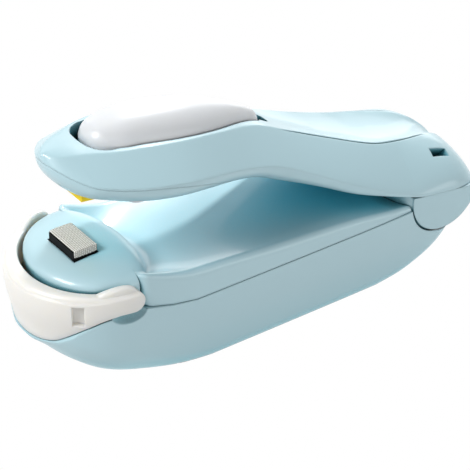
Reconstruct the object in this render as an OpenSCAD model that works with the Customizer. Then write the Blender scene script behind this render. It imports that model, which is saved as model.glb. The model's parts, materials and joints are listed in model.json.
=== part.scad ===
// Handheld bag sealer: a hinged lever with a thumb button over a battery base with a heated nose.
// X runs from the nose (negative) to the hinge, Y across, Z up from the table.

/* [Overall] */
// Distance from the nose centre to the battery bay
nose_gap = 10.7; // [10.4:0.1:14]
// Wall between the battery bay and the hinge hollow
rear_wall = 0.8; // [0.7:0.1:1.6]
// Wall of the base beside the battery bay
side_wall = 3; // [2.6:0.1:3.6]
// Height of the parting line above the table
seam_z = 18.4; // [18.2:0.1:20]

/* [Base] */
// Radius along the bottom edges of the base
edge_r = 4.2; // [3.4:0.2:4.6]
// Draft of each side wall from the parting line to the bottom edge
draft = 0.6; // [0.2:0.1:1]
// Height of the shoulders behind the nose
shoulder_z = 28.4; // [27.4:0.2:29]
// Height of the nose dome
dome_z = 29.3; // [28.6:0.1:29.8]
// Height of the saddle floor behind the nose
saddle_z = 22.8; // [22:0.2:23.6]
// Length of the hump at the back of the dome
dome_back = 6.8; // [6:0.2:8]
// Thickness of the floor under the heater
nose_roof = 3.6; // [2.6:0.2:4]

/* [Hinge] */
// Height of the hinge axis
hinge_z = 20; // [19.6:0.1:20.6]
// Radius of the rounded rear at the middle
barrel_r = 13; // [12.6:0.1:13.6]
// Diameter of the hinge pin
pin_d = 3; // [2.4:0.1:3.4]
// Radial running clearance of the hinge pin in the knuckle
pin_clear = 0.05; // [0.02:0.01:0.09]
// Radius of the hinge knuckle
knuckle_r = 5; // [4.6:0.1:5.2]
// Width of the hinge knuckle
knuckle_w = 20; // [19:0.2:20.4]
// Gap between the lever ears and what they turn in
ear_gap = 0.5; // [0.4:0.05:0.7]
// Angle that the lever stands open
open_deg = 7; // [6.5:0.25:8]

/* [Heater] */
// Distance of the heater from the nose centre
heater_off = 5.2; // [4:0.1:6]
// Length of the heater across the nose
heater_l = 9.4; // [8:0.2:12]
// Width of the heater block
heater_w = 5.8; // [5:0.1:6.4]
// Height of the block above the dome
heater_h = 1.5; // [1.2:0.1:2]
// Width of the heating ribbon
ribbon_w = 2.4; // [1.6:0.2:3.2]
// Thickness of the heating ribbon
ribbon_t = 0.15; // [0.1:0.05:0.3]
// Thickness of the woven cover
cloth_t = 0.3; // [0.2:0.05:0.4]
// Drop of the woven cover over the ends of the block
cloth_drop = 1.2; // [0.8:0.1:1.4]
// Gap between the shut press pad and the woven cover
jaw_gap = 0.2; // [0.1:0.05:0.4]

/* [Guard] */
// Distance of the nose centre from the front of the guard
guard_l = 19.5; // [19:0.1:20]
// How far the guard stands proud of the base on each side
guard_proud = 0.2; // [0.1:0.05:0.3]
// Wall of the guard's arms
guard_wall = 2; // [1.8:0.1:2.2]
// Depth of the guard's bow at the front
guard_bow = 3.6; // [3.3:0.1:4]
// Gap between the nose and the guard's bow at the front
bow_gap = 1.3; // [0.8:0.1:1.6]
// Height of the guard's top edge
guard_z = 26.3; // [25.8:0.1:26.6]
// Height of each guard arm
arm_h = 4.7; // [4.2:0.1:5]
// Distance of the guard pivot ahead of the nose centre
pivot_off = 2; // [1.8:0.1:2.6]
// Radius of the guard's pivot studs
stud_r = 1.2; // [1:0.05:1.5]
// Radial running clearance of the pivot studs
stud_clear = 0.05; // [0.02:0.01:0.09]
// Gap between the guard and the nose
guard_gap = 0.4; // [0.35:0.05:0.5]
// Width of the recess in each side of the guard
recess_w = 2.6; // [2:0.2:3.2]
// Height of the recess in each side of the guard
recess_h = 4.8; // [3.6:0.2:5]
// Depth of the recess in each side of the guard
recess_d = 1.4; // [1:0.1:1.6]

/* [Lever] */
// Height of the lever's top edge over the press pad
nose_h = 11.45; // [11:0.05:12]
// How far the lever's tail stands in from the side of the base
tail_in = 0.5; // [0.4:0.1:0.8]
// Widest half of the front lobe
lobe_w = 16.2; // [15.6:0.1:16.6]
// Half-width of the waist
waist_w = 13; // [12.6:0.1:13.6]
// Length of the press pad across the nose
press_l = 9.6; // [8:0.2:11]
// Width of the press pad
press_w = 5; // [4.6:0.2:6]
// Height of the press pad
press_h = 4.6; // [4:0.2:5]
// Length of the lanyard slot
lanyard_l = 5.2; // [4:0.2:6]
// Height of the lanyard slot
lanyard_h = 2.2; // [1.8:0.1:2.4]

/* [Button] */
// Length of the thumb button
button_l = 42.8; // [42:0.2:43.2]
// Widest half of the thumb button
button_w = 7.6; // [7.2:0.1:7.8]
// Height of the button's crown above the lever
crown_h = 4.4; // [3:0.2:5]
// Groove around the button
button_gap = 0.6; // [0.5:0.05:0.8]
// Travel of the button
button_travel = 0.6; // [0.4:0.1:0.8]
// Slope of the button's face
button_slope = 8; // [7:0.5:9]
// Radius of the button's stem
stem_r = 2.4; // [2:0.1:2.6]
// Radius of the switch plunger
plunger_r = 1.5; // [1.2:0.1:1.7]

/* [Battery] */
// Diameter of an AA cell
cell_d = 14.5; // [14.2:0.1:14.5]
// Length of an AA cell without its button end
cell_l = 49.5; // [49:0.1:49.7]
// Gap between the two cells
cell_gap = 0.8; // [0.6:0.1:1.2]
// Height of the battery bay floor above the table
bay_floor = 2.4; // [2.3:0.1:2.5]
// Clearance of the cells in the bay
bay_clear = 0.5; // [0.4:0.1:0.8]
// Thickness of the contact plates
plate_t = 0.4; // [0.3:0.1:0.5]
// Length of a fitted battery spring
spring_l = 5.2; // [4.6:0.2:5.6]
// Thickness of the battery door
door_t = 1.9; // [1.6:0.1:2]
// Gap around the battery door
door_gap = 0.2; // [0.15:0.05:0.3]
// Diameter of the screw heads
head_d = 4.6; // [4:0.1:5]
// Diameter of the screw threads
thread_d = 2.2; // [1.8:0.1:2.4]

/* [Hidden] */
$fn = 48;
cell_y = (cell_d + cell_gap) / 2;
cell_z = bay_floor + bay_clear + cell_d / 2;
bay_half = cell_y + cell_d / 2 + bay_clear;
bay_l = cell_l + 1 + spring_l + 2 * plate_t + bay_clear;
overall_l = guard_l + nose_gap + bay_l + rear_wall + 2 * barrel_r;
half_w = bay_half + side_wall;
x_front = -overall_l / 2;
x_rear = overall_l / 2;
nx = x_front + guard_l;
hx = x_rear - barrel_r;
hz = hinge_z;
bay_x1 = hx - barrel_r - rear_wall;
bay_x0 = bay_x1 - bay_l;
door_half = bay_half;
rail_half = door_half + 0.7;
guard_y = half_w + guard_proud;
nose_y = guard_y - guard_wall - guard_gap;
nose_l = guard_l - guard_bow - bow_gap;
tail_w = half_w - tail_in;
arm_r = arm_h / 2;
px = nx - pivot_off;
pz = guard_z - arm_r;
ledge_z = pz - arm_r - guard_gap;
heat_x = nx - heater_off;
block_z = dome_z + heater_h;
cloth_z = block_z + ribbon_t + cloth_t + 0.05;
heater_foot = dome_z - nose_roof - 3.7;
jaw_z = hz + (hx - heat_x) * sin(open_deg) + (cloth_z + jaw_gap - hz) * cos(open_deg);
lever_z = jaw_z + nose_h;
pin_r = pin_d / 2;
ear_in = knuckle_w / 2 + ear_gap;
sleeve_r = knuckle_r + ear_gap + 0.4;
hood_r = barrel_r - 2.4;
boss_r = pin_r + 1.6;
boss_t = 1.8;
split_z = hz + 0.1;
base_screw_y = nose_y - 4.8;

// Smooth curve through keys [x, value], flat beyond its ends.
function slope(k, i) =
  i == 0 ? (k[1][1] - k[0][1]) / (k[1][0] - k[0][0])
  : i == len(k) - 1 ? (k[i][1] - k[i - 1][1]) / (k[i][0] - k[i - 1][0])
  : (k[i + 1][1] - k[i - 1][1]) / (k[i + 1][0] - k[i - 1][0]);
function span(k, x, i = 0) = i >= len(k) - 2 || x <= k[i + 1][0] ? i : span(k, x, i + 1);
function herm(k, i, h, t) =
  k[i][1] * (1 + 2 * t) * pow(1 - t, 2) + slope(k, i) * h * t * pow(1 - t, 2)
  + k[i + 1][1] * t * t * (3 - 2 * t) + slope(k, i + 1) * h * t * t * (t - 1);
function curve(k, x) =
  x <= k[0][0] ? k[0][1]
  : x >= k[len(k) - 1][0] ? k[len(k) - 1][1]
  : let (i = span(k, x), h = k[i + 1][0] - k[i][0]) herm(k, i, h, (x - k[i][0]) / h);
function flip(list) = [for (i = [len(list) - 1:-1:0]) list[i]];
function spow(c, e) = sign(c) * pow(abs(c), e);
function at_x(x, ring) = [for (p = ring) [x, p[0], p[1]]];

// A solid through rings whose first half runs along one side and second half back along the other.
module loft(rings) {
  n = len(rings[0]);
  m = len(rings);
  e = (m - 1) * n;
  sides = [for (j = [0:m - 2]) for (i = [0:n - 1])
    let (a = j * n + i, b = j * n + (i + 1) % n)
    each [[a, b, b + n], [a, b + n, a + n]]];
  first = [for (i = [0:n / 2 - 2]) each [[i, n - 1 - i, n - 2 - i], [i, n - 2 - i, i + 1]]];
  last = [for (i = [0:n / 2 - 2])
    each [[e + i, e + i + 1, e + n - 2 - i], [e + i, e + n - 2 - i, e + n - 1 - i]]];
  polyhedron([for (r = rings) each r], concat(sides, first, last), convexity = 8);
}

// A prism across Y from an outline given as [x, z].
module across(points, w) {
  translate([0, w / 2, 0]) rotate([90, 0, 0]) linear_extrude(w) polygon(points);
}
module cyl_y(x, z, r, y0, y1) {
  translate([x, y0, z]) rotate([-90, 0, 0]) cylinder(r = r, h = y1 - y0);
}
module box(x0, x1, y0, y1, z0, z1) {
  translate([x0, y0, z0]) cube([x1 - x0, y1 - y0, z1 - z0]);
}
module about_hinge(deg) {
  translate([hx, 0, hz]) rotate([0, deg, 0]) translate([-hx, 0, -hz]) children();
}
module both() {
  children();
  mirror([0, 1, 0]) children();
}

// Bottom line of the base: a bow at the front, flat where it stands, rising to the hinge.
bottom_keys = [[x_front, 21], [x_front + 1.2, 13.4], [x_front + 4, 10.6], [x_front + 7.5, 7.8],
  [x_front + 13, 4.6], [nx + 1.5, 2], [nx + 9.5, 0.5], [nx + 18, 0], [nx + 19, 0], [hx - 19, 0],
  [hx - 18, 0], [hx - 10, 1.2], [hx - 2, 4.2], [hx + 4, 8], [hx + 9, 13], [hx + 11, 18]];
function bow_w(x, a, b) = b * sqrt(max(0.0004, 1 - pow(max(0, nx - x) / a, 2)));
hull_keys = [[nx, half_w], [nx + 12, half_w + 0.1], [hx - 24, half_w + 0.1], [hx - 8, half_w - 0.2],
  [hx, half_w - 0.8], [hx + 6, half_w - 2.9], [hx + 9, half_w - 5.9], [hx + 11, half_w - 10.4]];
function hull_w(x) = x < nx ? bow_w(x, guard_l + 0.1, half_w) : curve(hull_keys, x);
hull_top = ledge_z + 1.2;
hull_x = [x_front + 0.2, x_front + 0.7, x_front + 1.5, x_front + 2.6, x_front + 4, x_front + 6,
  x_front + 8.5, x_front + 11, x_front + 13.5, x_front + 16.5, nx, nx + 4, nx + 9.5, nx + 14, nx + 19,
  (nx + hx) / 2,  hx - 18, hx - 13, hx - 9, hx - 5, hx - 1.5, hx + 1.5, hx + 4, hx + 6.5, hx + 9];
function hull_ring(x) =
  let (w = hull_w(x), b = min(curve(bottom_keys, x), hull_top - 0.6),
    bow = max(0, min(1, (nx + 20 - x) / 24)),
    r = min(edge_r + 3.8 * bow * bow * (3 - 2 * bow), w * 0.85, (hull_top - b) * 0.8),
    d = draft * min(1, w / half_w), f = w - d - r,
    arc = [for (a = [0:15:90]) [f + r * cos(a), b + r * (1 - sin(a))]],
    top = [for (i = [0:13]) [w * (i / 6.5 - 1), hull_top]])
  concat(top, arc, flip([for (p = arc) [-p[0], p[1]]]));
module base_hull() {
  loft([for (x = hull_x) at_x(x, hull_ring(x))]);
}

// Lower edge of the guard in side view, which is also the parting line around the nose.
chin_keys = [[x_front - 1, pz - arm_r - 9], [x_front + 1.5, pz - arm_r - 8.6],
  [x_front + 2.6, pz - arm_r - 8.1], [x_front + 3.9, pz - arm_r - 7.1],
  [x_front + 5.4, pz - arm_r - 5.3], [x_front + 7, pz - arm_r - 3.6],
  [x_front + 8.6, pz - arm_r - 2.3], [x_front + 11, pz - arm_r - 0.9],
  [x_front + 14.4, pz - arm_r], [x_front + 16, pz - arm_r]];
chin_x = [-1, 1.5, 2.6, 3.2, 3.9, 4.6, 5.4, 6.2, 7, 8.6, 10, 11.5, 13, 14.4];
function chin(drop) = [for (x = chin_x) [x_front + x, curve(chin_keys, x_front + x) - drop]];
function seam_line() = concat(chin(guard_gap), [[nx + 0.95, ledge_z], [nx + 7.5, seam_z + 1],
  [nx + 13.5, seam_z], [x_rear + 5, seam_z]]);

// Rounded rear of the lever about the hinge axis, as [radius, y].
barrel_end = tail_w - 0.5;
barrel_keys = [[0, barrel_r], [tail_w - 11.9, barrel_r - 0.15], [tail_w - 7.9, barrel_r - 0.6],
  [tail_w - 4.6, barrel_r - 1.3], [tail_w - 2.9, barrel_r - 1.9], [tail_w - 1.3, barrel_r - 2.8],
  [barrel_end, barrel_r - 3.6]];
ear_out = tail_w - 0.1;
module barrel(grow, y0, y1, out) {
  ys = concat([y0], [for (k = barrel_keys) if (k[0] > y0 && k[0] < y1) k[0]], [y1]);
  edge = [for (y = ys) [curve(barrel_keys, y) + grow, y]];
  rim = out > y1 ? [[edge[len(edge) - 1][0], out]] : [];
  end = max(out, y1);
  both() translate([hx, 0, hz]) rotate([-90, 0, 0]) rotate_extrude($fn = 96)
    polygon(concat([[0, y0]], edge, rim, [[0, end]]));
}

module lower_shell() color([0.62, 0.78, 0.84]) {
  difference() {
    union() {
      difference() {
        intersection() {
          base_hull();
          across(concat(seam_line(), [[x_rear + 5, -5], [x_front - 1, -5]]), 60);
        }
        barrel(ear_gap, 0, barrel_end, half_w + 6);
      }
      cyl_y(hx, hz, knuckle_r, -knuckle_w / 2, knuckle_w / 2);
      box(bay_x1 + 0.2, hx, -knuckle_w / 2, knuckle_w / 2, 6, seam_z - 0.4);
    }
    cyl_y(hx, hz, pin_r + pin_clear, -knuckle_w, knuckle_w);
    box(hx - knuckle_r + 0.4, hx + 12, -knuckle_w / 4, knuckle_w / 4, hz - knuckle_r + 0.4, hz + 12);
    // battery bay, its door channel and the rails of the door
    box(bay_x0, bay_x1, -bay_half, bay_half, -1, seam_z + 1);
    box(bay_x0 - 1, x_rear, -door_half - door_gap, door_half + door_gap, -1, bay_floor);
    box(bay_x0 - 1, x_rear, -rail_half - door_gap, rail_half + door_gap, bay_floor - 0.9, bay_floor);
    // finger scoop under each guard arm
    both() translate([px - 1.7, half_w + 4.45, ledge_z + 1.4]) sphere(r = 6.05);
    // nose cavity and lead channel
    box(heat_x - heater_w / 2 - 3, nx + 6, -heater_l / 2 - 3, heater_l / 2 + 3, ledge_z - 9.2, ledge_z + 1);
    box(nx + 5, bay_x0 + 1, -3, 3, seam_z - 4.9, seam_z + 1);
    both() translate([nx + 4, base_screw_y, 0]) {
      translate([0, 0, -1]) cylinder(d = head_d + 0.6, h = 9);
      cylinder(d = thread_d + 0.4, h = 30);
    }
  }
}

// Height of the upper surface: a nose dome running into a saddle between raised rims.
function back_x(f) = (nx + 22.5) * (1 - f) + (hx - 26) * f;
rim_keys = [[nx + 0.7, shoulder_z + 0.4], [nx + 2, shoulder_z + 0.8], [nx + 6.7, shoulder_z - 1.1],
  [nx + 13, seam_z + 6.9], [nx + 22.5, seam_z + 6], [back_x(0.42), seam_z + 4.6],
  [hx - 26, seam_z + 3.3], [hx - 12.7, seam_z + 1.5], [hx, seam_z + 0.6]];
mid_keys = [[nx, saddle_z + 0.4], [nx + 9.5, saddle_z], [back_x(0.15), saddle_z - 0.2],
  [back_x(0.45), saddle_z - 0.3], [hx - 29, seam_z + 3.2], [hx - 13, seam_z + 1.3], [hx, seam_z + 0.6]];
function dome_at(x, y) =
  let (a = x < nx ? nose_l : dome_back, q = sqrt(pow((x - nx) / a, 2) + pow(y / nose_y, 2)),
    foot = dome_z - nose_roof)
  q < 1 ? foot + nose_roof * pow(1 - pow(q, 2.6), 1 / 2.6)
    : foot - (q - 1) * (6 + 54 * pow(abs(y) / (nose_y), 4));
function saddle_at(x, y, w) =
  let (m = curve(mid_keys, x), r = curve(rim_keys, x), s = 0.8 + curve(lean_keys, x) * 0.8,
    over = max(0, abs(y) - (w - s)) / s)
  m + (r - m) * pow(abs(y) / w, 2.8) - s * (1 - sqrt(max(0, 1 - over * over)));
function blend(a, b, s) = max(a, b) + pow(max(0, s - abs(a - b)), 2) / (4 * s);
lean_keys = [[nx + 0.7, 1.4], [nx + 3, 1.7], [nx + 10, 1.5], [back_x(0.45), 0.9], [hx - 13, 0.5]];
function brow(x) = let (d = max(0, 2.2 - (x - nx - 0.7))) 2.2 - sqrt(max(0, 4.84 - d * d));
function top_w(x) = x < nx + 0.6 ? bow_w(x, nose_l, nose_y) : hull_w(x) - curve(lean_keys, x) - brow(x);
function top_at(x, y) = x < nx + 0.6 ? dome_at(x, y)
  : blend(dome_at(x, y), saddle_at(x, y, top_w(x)), 1.2);
top_y = [1, 0.985, 0.96, 0.93, 0.88, 0.8, 0.7, 0.58, 0.44, 0.3, 0.15];
function top_ring(x, z0) =
  let (w = top_w(x), b = x < nx + 0.6 ? w : hull_w(x) - brow(x), n = 2 * len(top_y) + 1,
    ys = concat([for (t = top_y) -t], [0], flip(top_y)))
  concat([[-b, z0]], [for (t = ys) [t * w, top_at(x, t * w)]], [[b, z0]],
    [for (i = [0:n + 1]) [b * (1 - 2 * i / (n + 1)) * 0.95, z0 - 0.5]]);
top_x = [nx - nose_l + 0.05, nx - nose_l + 0.25, nx - nose_l + 0.6, nx - nose_l + 1.3,
  nx - nose_l + 2.3, nx - nose_l + 3.8, nx - nose_l + 6, nx - 6, nx - 3, nx, nx + 0.58, nx + 0.7,
  nx + 1, nx + 1.5, nx + 2.2, nx + 3.2, nx + 4.4, nx + 5.6, nx + 6.8, nx + 8, nx + 9.5, nx + 12,
  nx + 16, nx + 22, back_x(0.2), back_x(0.45), back_x(0.7), hx - 28, hx - 21, hx - 15, hx - 10];
module upper_shell() color([0.64, 0.8, 0.86]) {
  difference() {
    intersection() {
      loft([for (x = top_x) at_x(x, top_ring(x, x < nx + 0.6 ? 12 : seam_z - 1))]);
      across(concat(seam_line(), [[x_rear + 5, 60], [x_front - 1, 60]]), 60);
    }
    barrel(ear_gap, 0, barrel_end, half_w + 6);
    box(bay_x0, hx - 28, -bay_half + 1, bay_half - 1, seam_z - 1, saddle_z - 2.2);
    // heater seat in the nose
    box(heat_x - heater_w / 2 - 3, nx + 6, -heater_l / 2 - 3, heater_l / 2 + 3, ledge_z - 9.2,
      dome_z - nose_roof);
    box(nx + 5, bay_x0 + 1, -3, 3, seam_z - 6.4, seam_z + 2);
    box(heat_x - heater_w / 2 - 0.1, heat_x + heater_w / 2 + 0.1, -heater_l / 2 - cloth_t - 0.3,
      heater_l / 2 + cloth_t + 0.3, heater_foot - 2, dome_z + 5);
    both() cyl_y(px, pz, stud_r + stud_clear, nose_y - 2.4, nose_y + 16);
    both() translate([nx + 4, base_screw_y, 0]) cylinder(d = thread_d - 0.24, h = ledge_z + 3);
  }
}

module battery_door() color([0.6, 0.76, 0.82]) {
  difference() {
    intersection() {
      base_hull();
      union() {
        box(bay_x0 - 0.8, bay_x1 + 1.2, -door_half, door_half, -1, door_t);
        box(bay_x0 - 0.8, bay_x1 + 1.2, -rail_half, rail_half, bay_floor - 0.7, door_t);
      }
    }
    for (i = [0:3]) box(bay_x1 - 9 + i * 2, bay_x1 - 8 + i * 2, -6, 6, -1, 0.5);
  }
}

// One AA cell with its button end towards the way given.
module cell(y, way) {
  x0 = way < 0 ? bay_x0 + plate_t + 1.2 : bay_x1 - plate_t - 1.2 - cell_l;
  translate([x0, y, cell_z]) rotate([0, 90, 0]) {
    cylinder(d = cell_d, h = cell_l);
    translate([0, 0, way < 0 ? -1 : 0]) cylinder(d = 5.4, h = cell_l + 1);
  }
}
module battery_near() color([0.25, 0.45, 0.3]) cell(-cell_y, -1);
module battery_far() color([0.25, 0.45, 0.3]) cell(cell_y, 1);

// A round wire along a path of points.
function unit(v) = v / norm(v);
function way_at(p, i) = unit(p[min(i + 1, len(p) - 1)] - p[max(i - 1, 0)]);
module wire(path, r, up, sides = 6) {
  loft([for (i = [0:len(path) - 1])
    let (t = way_at(path, i), s = unit(cross(up, t)), u = cross(t, s))
    [for (j = [0:sides - 1]) path[i] + r * (s * cos(360 * j / sides) - u * sin(360 * j / sides))]]);
}
// A conical battery spring growing along X from a wide foot at x.
coil_turns = 3;
function coil(x, y, way, len, r0, r1) = [for (i = [0:coil_turns * 8])
  let (t = i / (coil_turns * 8), r = r0 + (r1 - r0) * t, a = i * 45)
  [x + way * len * t, y + r * cos(a), cell_z + r * sin(a)]];
module battery_springs() color([0.75, 0.75, 0.72]) {
  wire(coil(bay_x1 - plate_t - 0.45, -cell_y, -1, spring_l - 1.2, 4.6, 2.6), 0.4, [1, 0, 0]);
  wire(coil(bay_x0 + plate_t + 0.45, cell_y, 1, spring_l - 1.2, 4.6, 2.6), 0.4, [1, 0, 0]);
}
echo(battery_spring_gap = (spring_l - 1.2) / coil_turns - 0.8);
module front_contacts() color([0.8, 0.75, 0.5]) {
  for (s = [-1, 1]) {
    box(bay_x0, bay_x0 + plate_t, s * cell_y - 5, s * cell_y + 5, bay_floor + 2, seam_z - 1.2);
    box(bay_x0, bay_x0 + plate_t, s * 2.8 - 1, s * 2.8 + 1, bay_floor + 10, seam_z + 0.6);
  }
}
module bridge_contact() color([0.8, 0.75, 0.5])
  box(bay_x1 - plate_t, bay_x1, -cell_y - 5, cell_y + 5, bay_floor + 2, seam_z - 1.2);

module base_leads() color([0.75, 0.12, 0.1]) {
  for (s = [-1, 1]) wire([[bay_x0 + 0.3, s * 1.9, seam_z - 1.6], [bay_x0 - 1.5, s * 1.9, seam_z - 1.8],
    [nx + 8, s * 1.9, seam_z - 2.9], [nx + 3, s * 2.4, seam_z - 2.9], [nx - 1, s * 3.4, seam_z - 1.4],
    [heat_x + 2.4, s * (heater_l / 2 - 0.8), heater_foot - 2.5],
    [heat_x + 0.6, s * (heater_l / 2 - 0.6), heater_foot - 0.8]], 0.6, [0, 1, 0]);
}
module screw(len) {
  translate([0, 0, -1.6]) difference() {
    cylinder(d = head_d, h = 1.6);
    for (a = [0, 90]) rotate(a) translate([-1.3, -0.3, -1]) cube([2.6, 0.6, 1.9]);
  }
  cylinder(d = thread_d - 0.3, h = len);
}
module base_screws() color([0.6, 0.6, 0.62])
  both() translate([nx + 4, base_screw_y, 8]) screw(ledge_z - 6.7);

module heater_block() color([0.06, 0.06, 0.06]) {
  box(heat_x - heater_w / 2, heat_x + heater_w / 2, -heater_l / 2, heater_l / 2,
    heater_foot, block_z);
  box(heat_x - heater_w / 2 - 1.6, heat_x + heater_w / 2 + 1.6, -heater_l / 2 - 1.6, heater_l / 2 + 1.6,
    heater_foot, dome_z - nose_roof - 0.1);
}
module heater_ribbon() color([0.55, 0.5, 0.48]) {
  w = ribbon_w / 2;
  e = heater_l / 2;
  box(heat_x - w, heat_x + w, -e, e, block_z, block_z + ribbon_t);
}
module heater_cloth() color([0.78, 0.74, 0.64]) {
  w = heater_w / 2 - 0.2;
  e = heater_l / 2 + 0.1 + cloth_t;
  z = cloth_z - cloth_t;
  box(heat_x - w, heat_x + w, -e, e, z, cloth_z);
  both() box(heat_x - w, heat_x + w, e - cloth_t, e, dome_z + heater_h - cloth_drop, cloth_z);
}
module heater_terminals() color([0.8, 0.68, 0.35])
  both() translate([heat_x, heater_l / 2 - 0.6, heater_foot - 1.4]) cylinder(r = 0.7, h = 1.4);

// The guard: a U strap around the nose on two studs.
recess_x = guard_l * 2 / 3;
guard_in_l = guard_l - guard_bow;
guard_in_y = guard_y - guard_wall;
function strap(a, b) = concat([[nx + 3, -b]],
  [for (f = [-90:7.5:90]) [nx - a * cos(f), b * sin(f)]], [[nx + 3, b]]);
guard_levels = [[guard_z - 14.3, 1.9, 0], [guard_z - 11.8, 1.5, 0], [guard_z - 8.3, 0.7, 0],
  [guard_z - 5.3, 0.1, 0], [guard_z - 2.9, 0, 0], [guard_z - 1.2, 0.15, 0], [guard_z - 0.6, 0.5, 0],
  [guard_z - 0.2, 1.1, 0.1], [guard_z, 1.8, 0.4]];
module guard_body() {
  loft([for (k = guard_levels)
    let (o = strap(guard_l - k[1], guard_y - min(k[1], 1) * 0.7),
      n = strap(guard_in_l + k[2], guard_in_y + k[2] * 0.5))
    [for (p = concat(o, flip(n))) [p[0], p[1], k[0]]]]);
}
module safety_guard() color([0.88, 0.87, 0.84]) {
  difference() {
    intersection() {
      guard_body();
      union() {
        across(concat(chin(0), [[px, pz - arm_r], [px, pz + arm_r + 2], [x_front - 1, 40]]), 60);
        cyl_y(px, pz, arm_r, -30, 30);
      }
    }
    both() translate([nx - recess_x, guard_y * sqrt(1 - pow(recess_x / guard_l, 2)), pz - 2])
      rotate([0, 0, -49])
        cube([2 * recess_d, recess_w, recess_h], center = true);
  }
  both() cyl_y(px, pz, stud_r, nose_y - 2, guard_y - 1);
}

module hinge_pin() color([0.7, 0.7, 0.72])
  cyl_y(hx, hz, pin_r, -ear_in - boss_t + 0.1, ear_in + boss_t - 0.1);

// A torsion spring around the hinge pin, one leg on the base and one under the lever.
twist_turns = 5;
twist_r = pin_r + 1.4;
twist_w = knuckle_w / 2 - 3.8;
function twist() = concat([[hx - twist_r - 1.3, -twist_w / 2 - 0.3, hz - twist_r]],
  [for (i = [0:twist_turns * 8]) let (a = 270 + i * 45)
    [hx + twist_r * cos(a), twist_w * (i / (twist_turns * 8) - 0.5), hz + twist_r * sin(a)]],
  [[hx + twist_r + 1.1, twist_w / 2 + 0.1, hz - twist_r + 0.8]]);
module return_spring() color([0.72, 0.72, 0.74]) wire(twist(), 0.35, [0, 1, 0]);
echo(return_spring_gap = twist_w / twist_turns - 0.7);

// The lever in its open rest pose, from sections across its length. Between the front lobe and the
// tail, places and heights are shares of the way from one to the other.
function mid_x(f) = (x_front + 47) * (1 - f) + (hx - 14) * f;
function mid_z(f, d) = lever_z * (1 - f) + hz * f + d;
function under(x, d) = [x, curve(top_line, x) - d];
top_line = [[x_front + 7.7, lever_z - 0.8], [x_front + 8.27, lever_z - 0.4],
  [x_front + 9.74, lever_z - 0.1], [x_front + 13, lever_z + 0.1], [x_front + 16, lever_z],
  [x_front + 21, lever_z - 0.3], [x_front + 28, lever_z - 0.9], [x_front + 37, lever_z - 2.3],
  [x_front + 47, lever_z - 4.5], [mid_x(0.25), mid_z(0.25, 0.95)],
  [mid_x(0.45), mid_z(0.45, 3.93)], [mid_x(0.7), mid_z(0.7, 7.78)],
  [mid_x(0.99), mid_z(0.99, 12.67)], [hx - 6.7, hz + 11], [hx + 2, hz + 8.7],
  [x_rear - 6, hz + 6.4], [x_rear - 3, hz + 3.9], [x_rear - 1.2, hz + 1.5], [x_rear, hz - 1.8]];
wide_line = [[x_front + 7.7, 0.8], [x_front + 7.95, 2], [x_front + 8.6, 3.8],
  [x_front + 9.9, 6.2], [x_front + 11.8, 8.9], [x_front + 14, lobe_w - 5],
  [x_front + 18, lobe_w - 3], [x_front + 23, lobe_w - 1.2], [x_front + 28, lobe_w - 0.3],
  [x_front + 34, lobe_w], [x_front + 40, lobe_w - 0.8], [x_front + 47, waist_w + 1.1],
  [mid_x(0.25), waist_w], [mid_x(0.45), waist_w + 0.8], [mid_x(0.7), tail_w - 2],
  [hx - 14, tail_w - 0.4], [hx - 6, tail_w], [hx + 2, tail_w], [x_rear - 7, tail_w - 0.5],
  [x_rear - 4, tail_w - 1.7], [x_rear - 2, tail_w - 4], [x_rear - 0.8, tail_w - 7.5],
  [x_rear - 0.2, tail_w - 11.5], [x_rear, 2]];
crease_line = [[x_front + 7.7, 0.4], [x_front + 7.95, 1], [x_front + 8.6, 1.9],
  [x_front + 9.9, 3], [x_front + 12.7, 4.5], [x_front + 15.3, 5.4], [x_front + 17.4, 6.3],
  [x_front + 19.3, 7.1], [x_front + 22.5, 8], [x_front + 25, 8.4], [x_front + 29, 8.9],
  [x_front + 37, 9], [x_front + 47, 7.4], [mid_x(0.25), 5.2], [mid_x(0.45), 5.3],
  [mid_x(0.7), 6.4], [hx - 14, 8], [hx - 6, 7.6], [hx + 2, 6], [x_rear - 6, 4.4],
  [x_rear - 3, 3.2], [x_rear - 1, 2], [x_rear, 1]];
mid_line = [[x_front + 7.7, lever_z - 1.2], [x_front + 8.93, lever_z - 2.2],
  [x_front + 10.96, lever_z - 3.4], [x_front + 13, lever_z - 4.2], [x_front + 17, lever_z - 5],
  [x_front + 22, lever_z - 5.8], [x_front + 28, lever_z - 6.6], [x_front + 37, lever_z - 8.2],
  [x_front + 47, lever_z - 10.6], [mid_x(0.25), mid_z(0.25, -5.45)],
  [mid_x(0.45), mid_z(0.45, -2.77)], [mid_x(0.7), mid_z(0.7, 0.18)], [hx - 14, hz + 4.4],
  [hx - 6, hz + 1.6], [hx + 2, hz], [x_rear - 5, hz - 1.4], [x_rear, hz - 2.4]];
belly_line = [[x_front + 7.7, lever_z - 2], [x_front + 8.11, lever_z - 3.9],
  [x_front + 9.17, lever_z - 5.9], [x_front + 10.96, lever_z - 7.9], [x_front + 13, lever_z - 9.3],
  [x_front + 17, lever_z - 10.7], [x_front + 21, lever_z - 12], [x_front + 28, lever_z - 13.6],
  [x_front + 37, lever_z - 14.7], [x_front + 47, lever_z - 16.2],
  [mid_x(0.17), mid_z(0.17, -12.32)], [mid_x(0.3), mid_z(0.3, -10.18)],
  [mid_x(0.45), mid_z(0.45, -7.47)], [mid_x(0.57), mid_z(0.57, -5.46)],
  [mid_x(0.78), mid_z(0.78, -1.95)], [hx - 13, hz + 2.3], [hx - 8, hz + 0.5], [hx, hz - 2.5],
  [x_rear - 5, hz - 4.5], [x_rear, hz - 3.4]];
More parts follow.
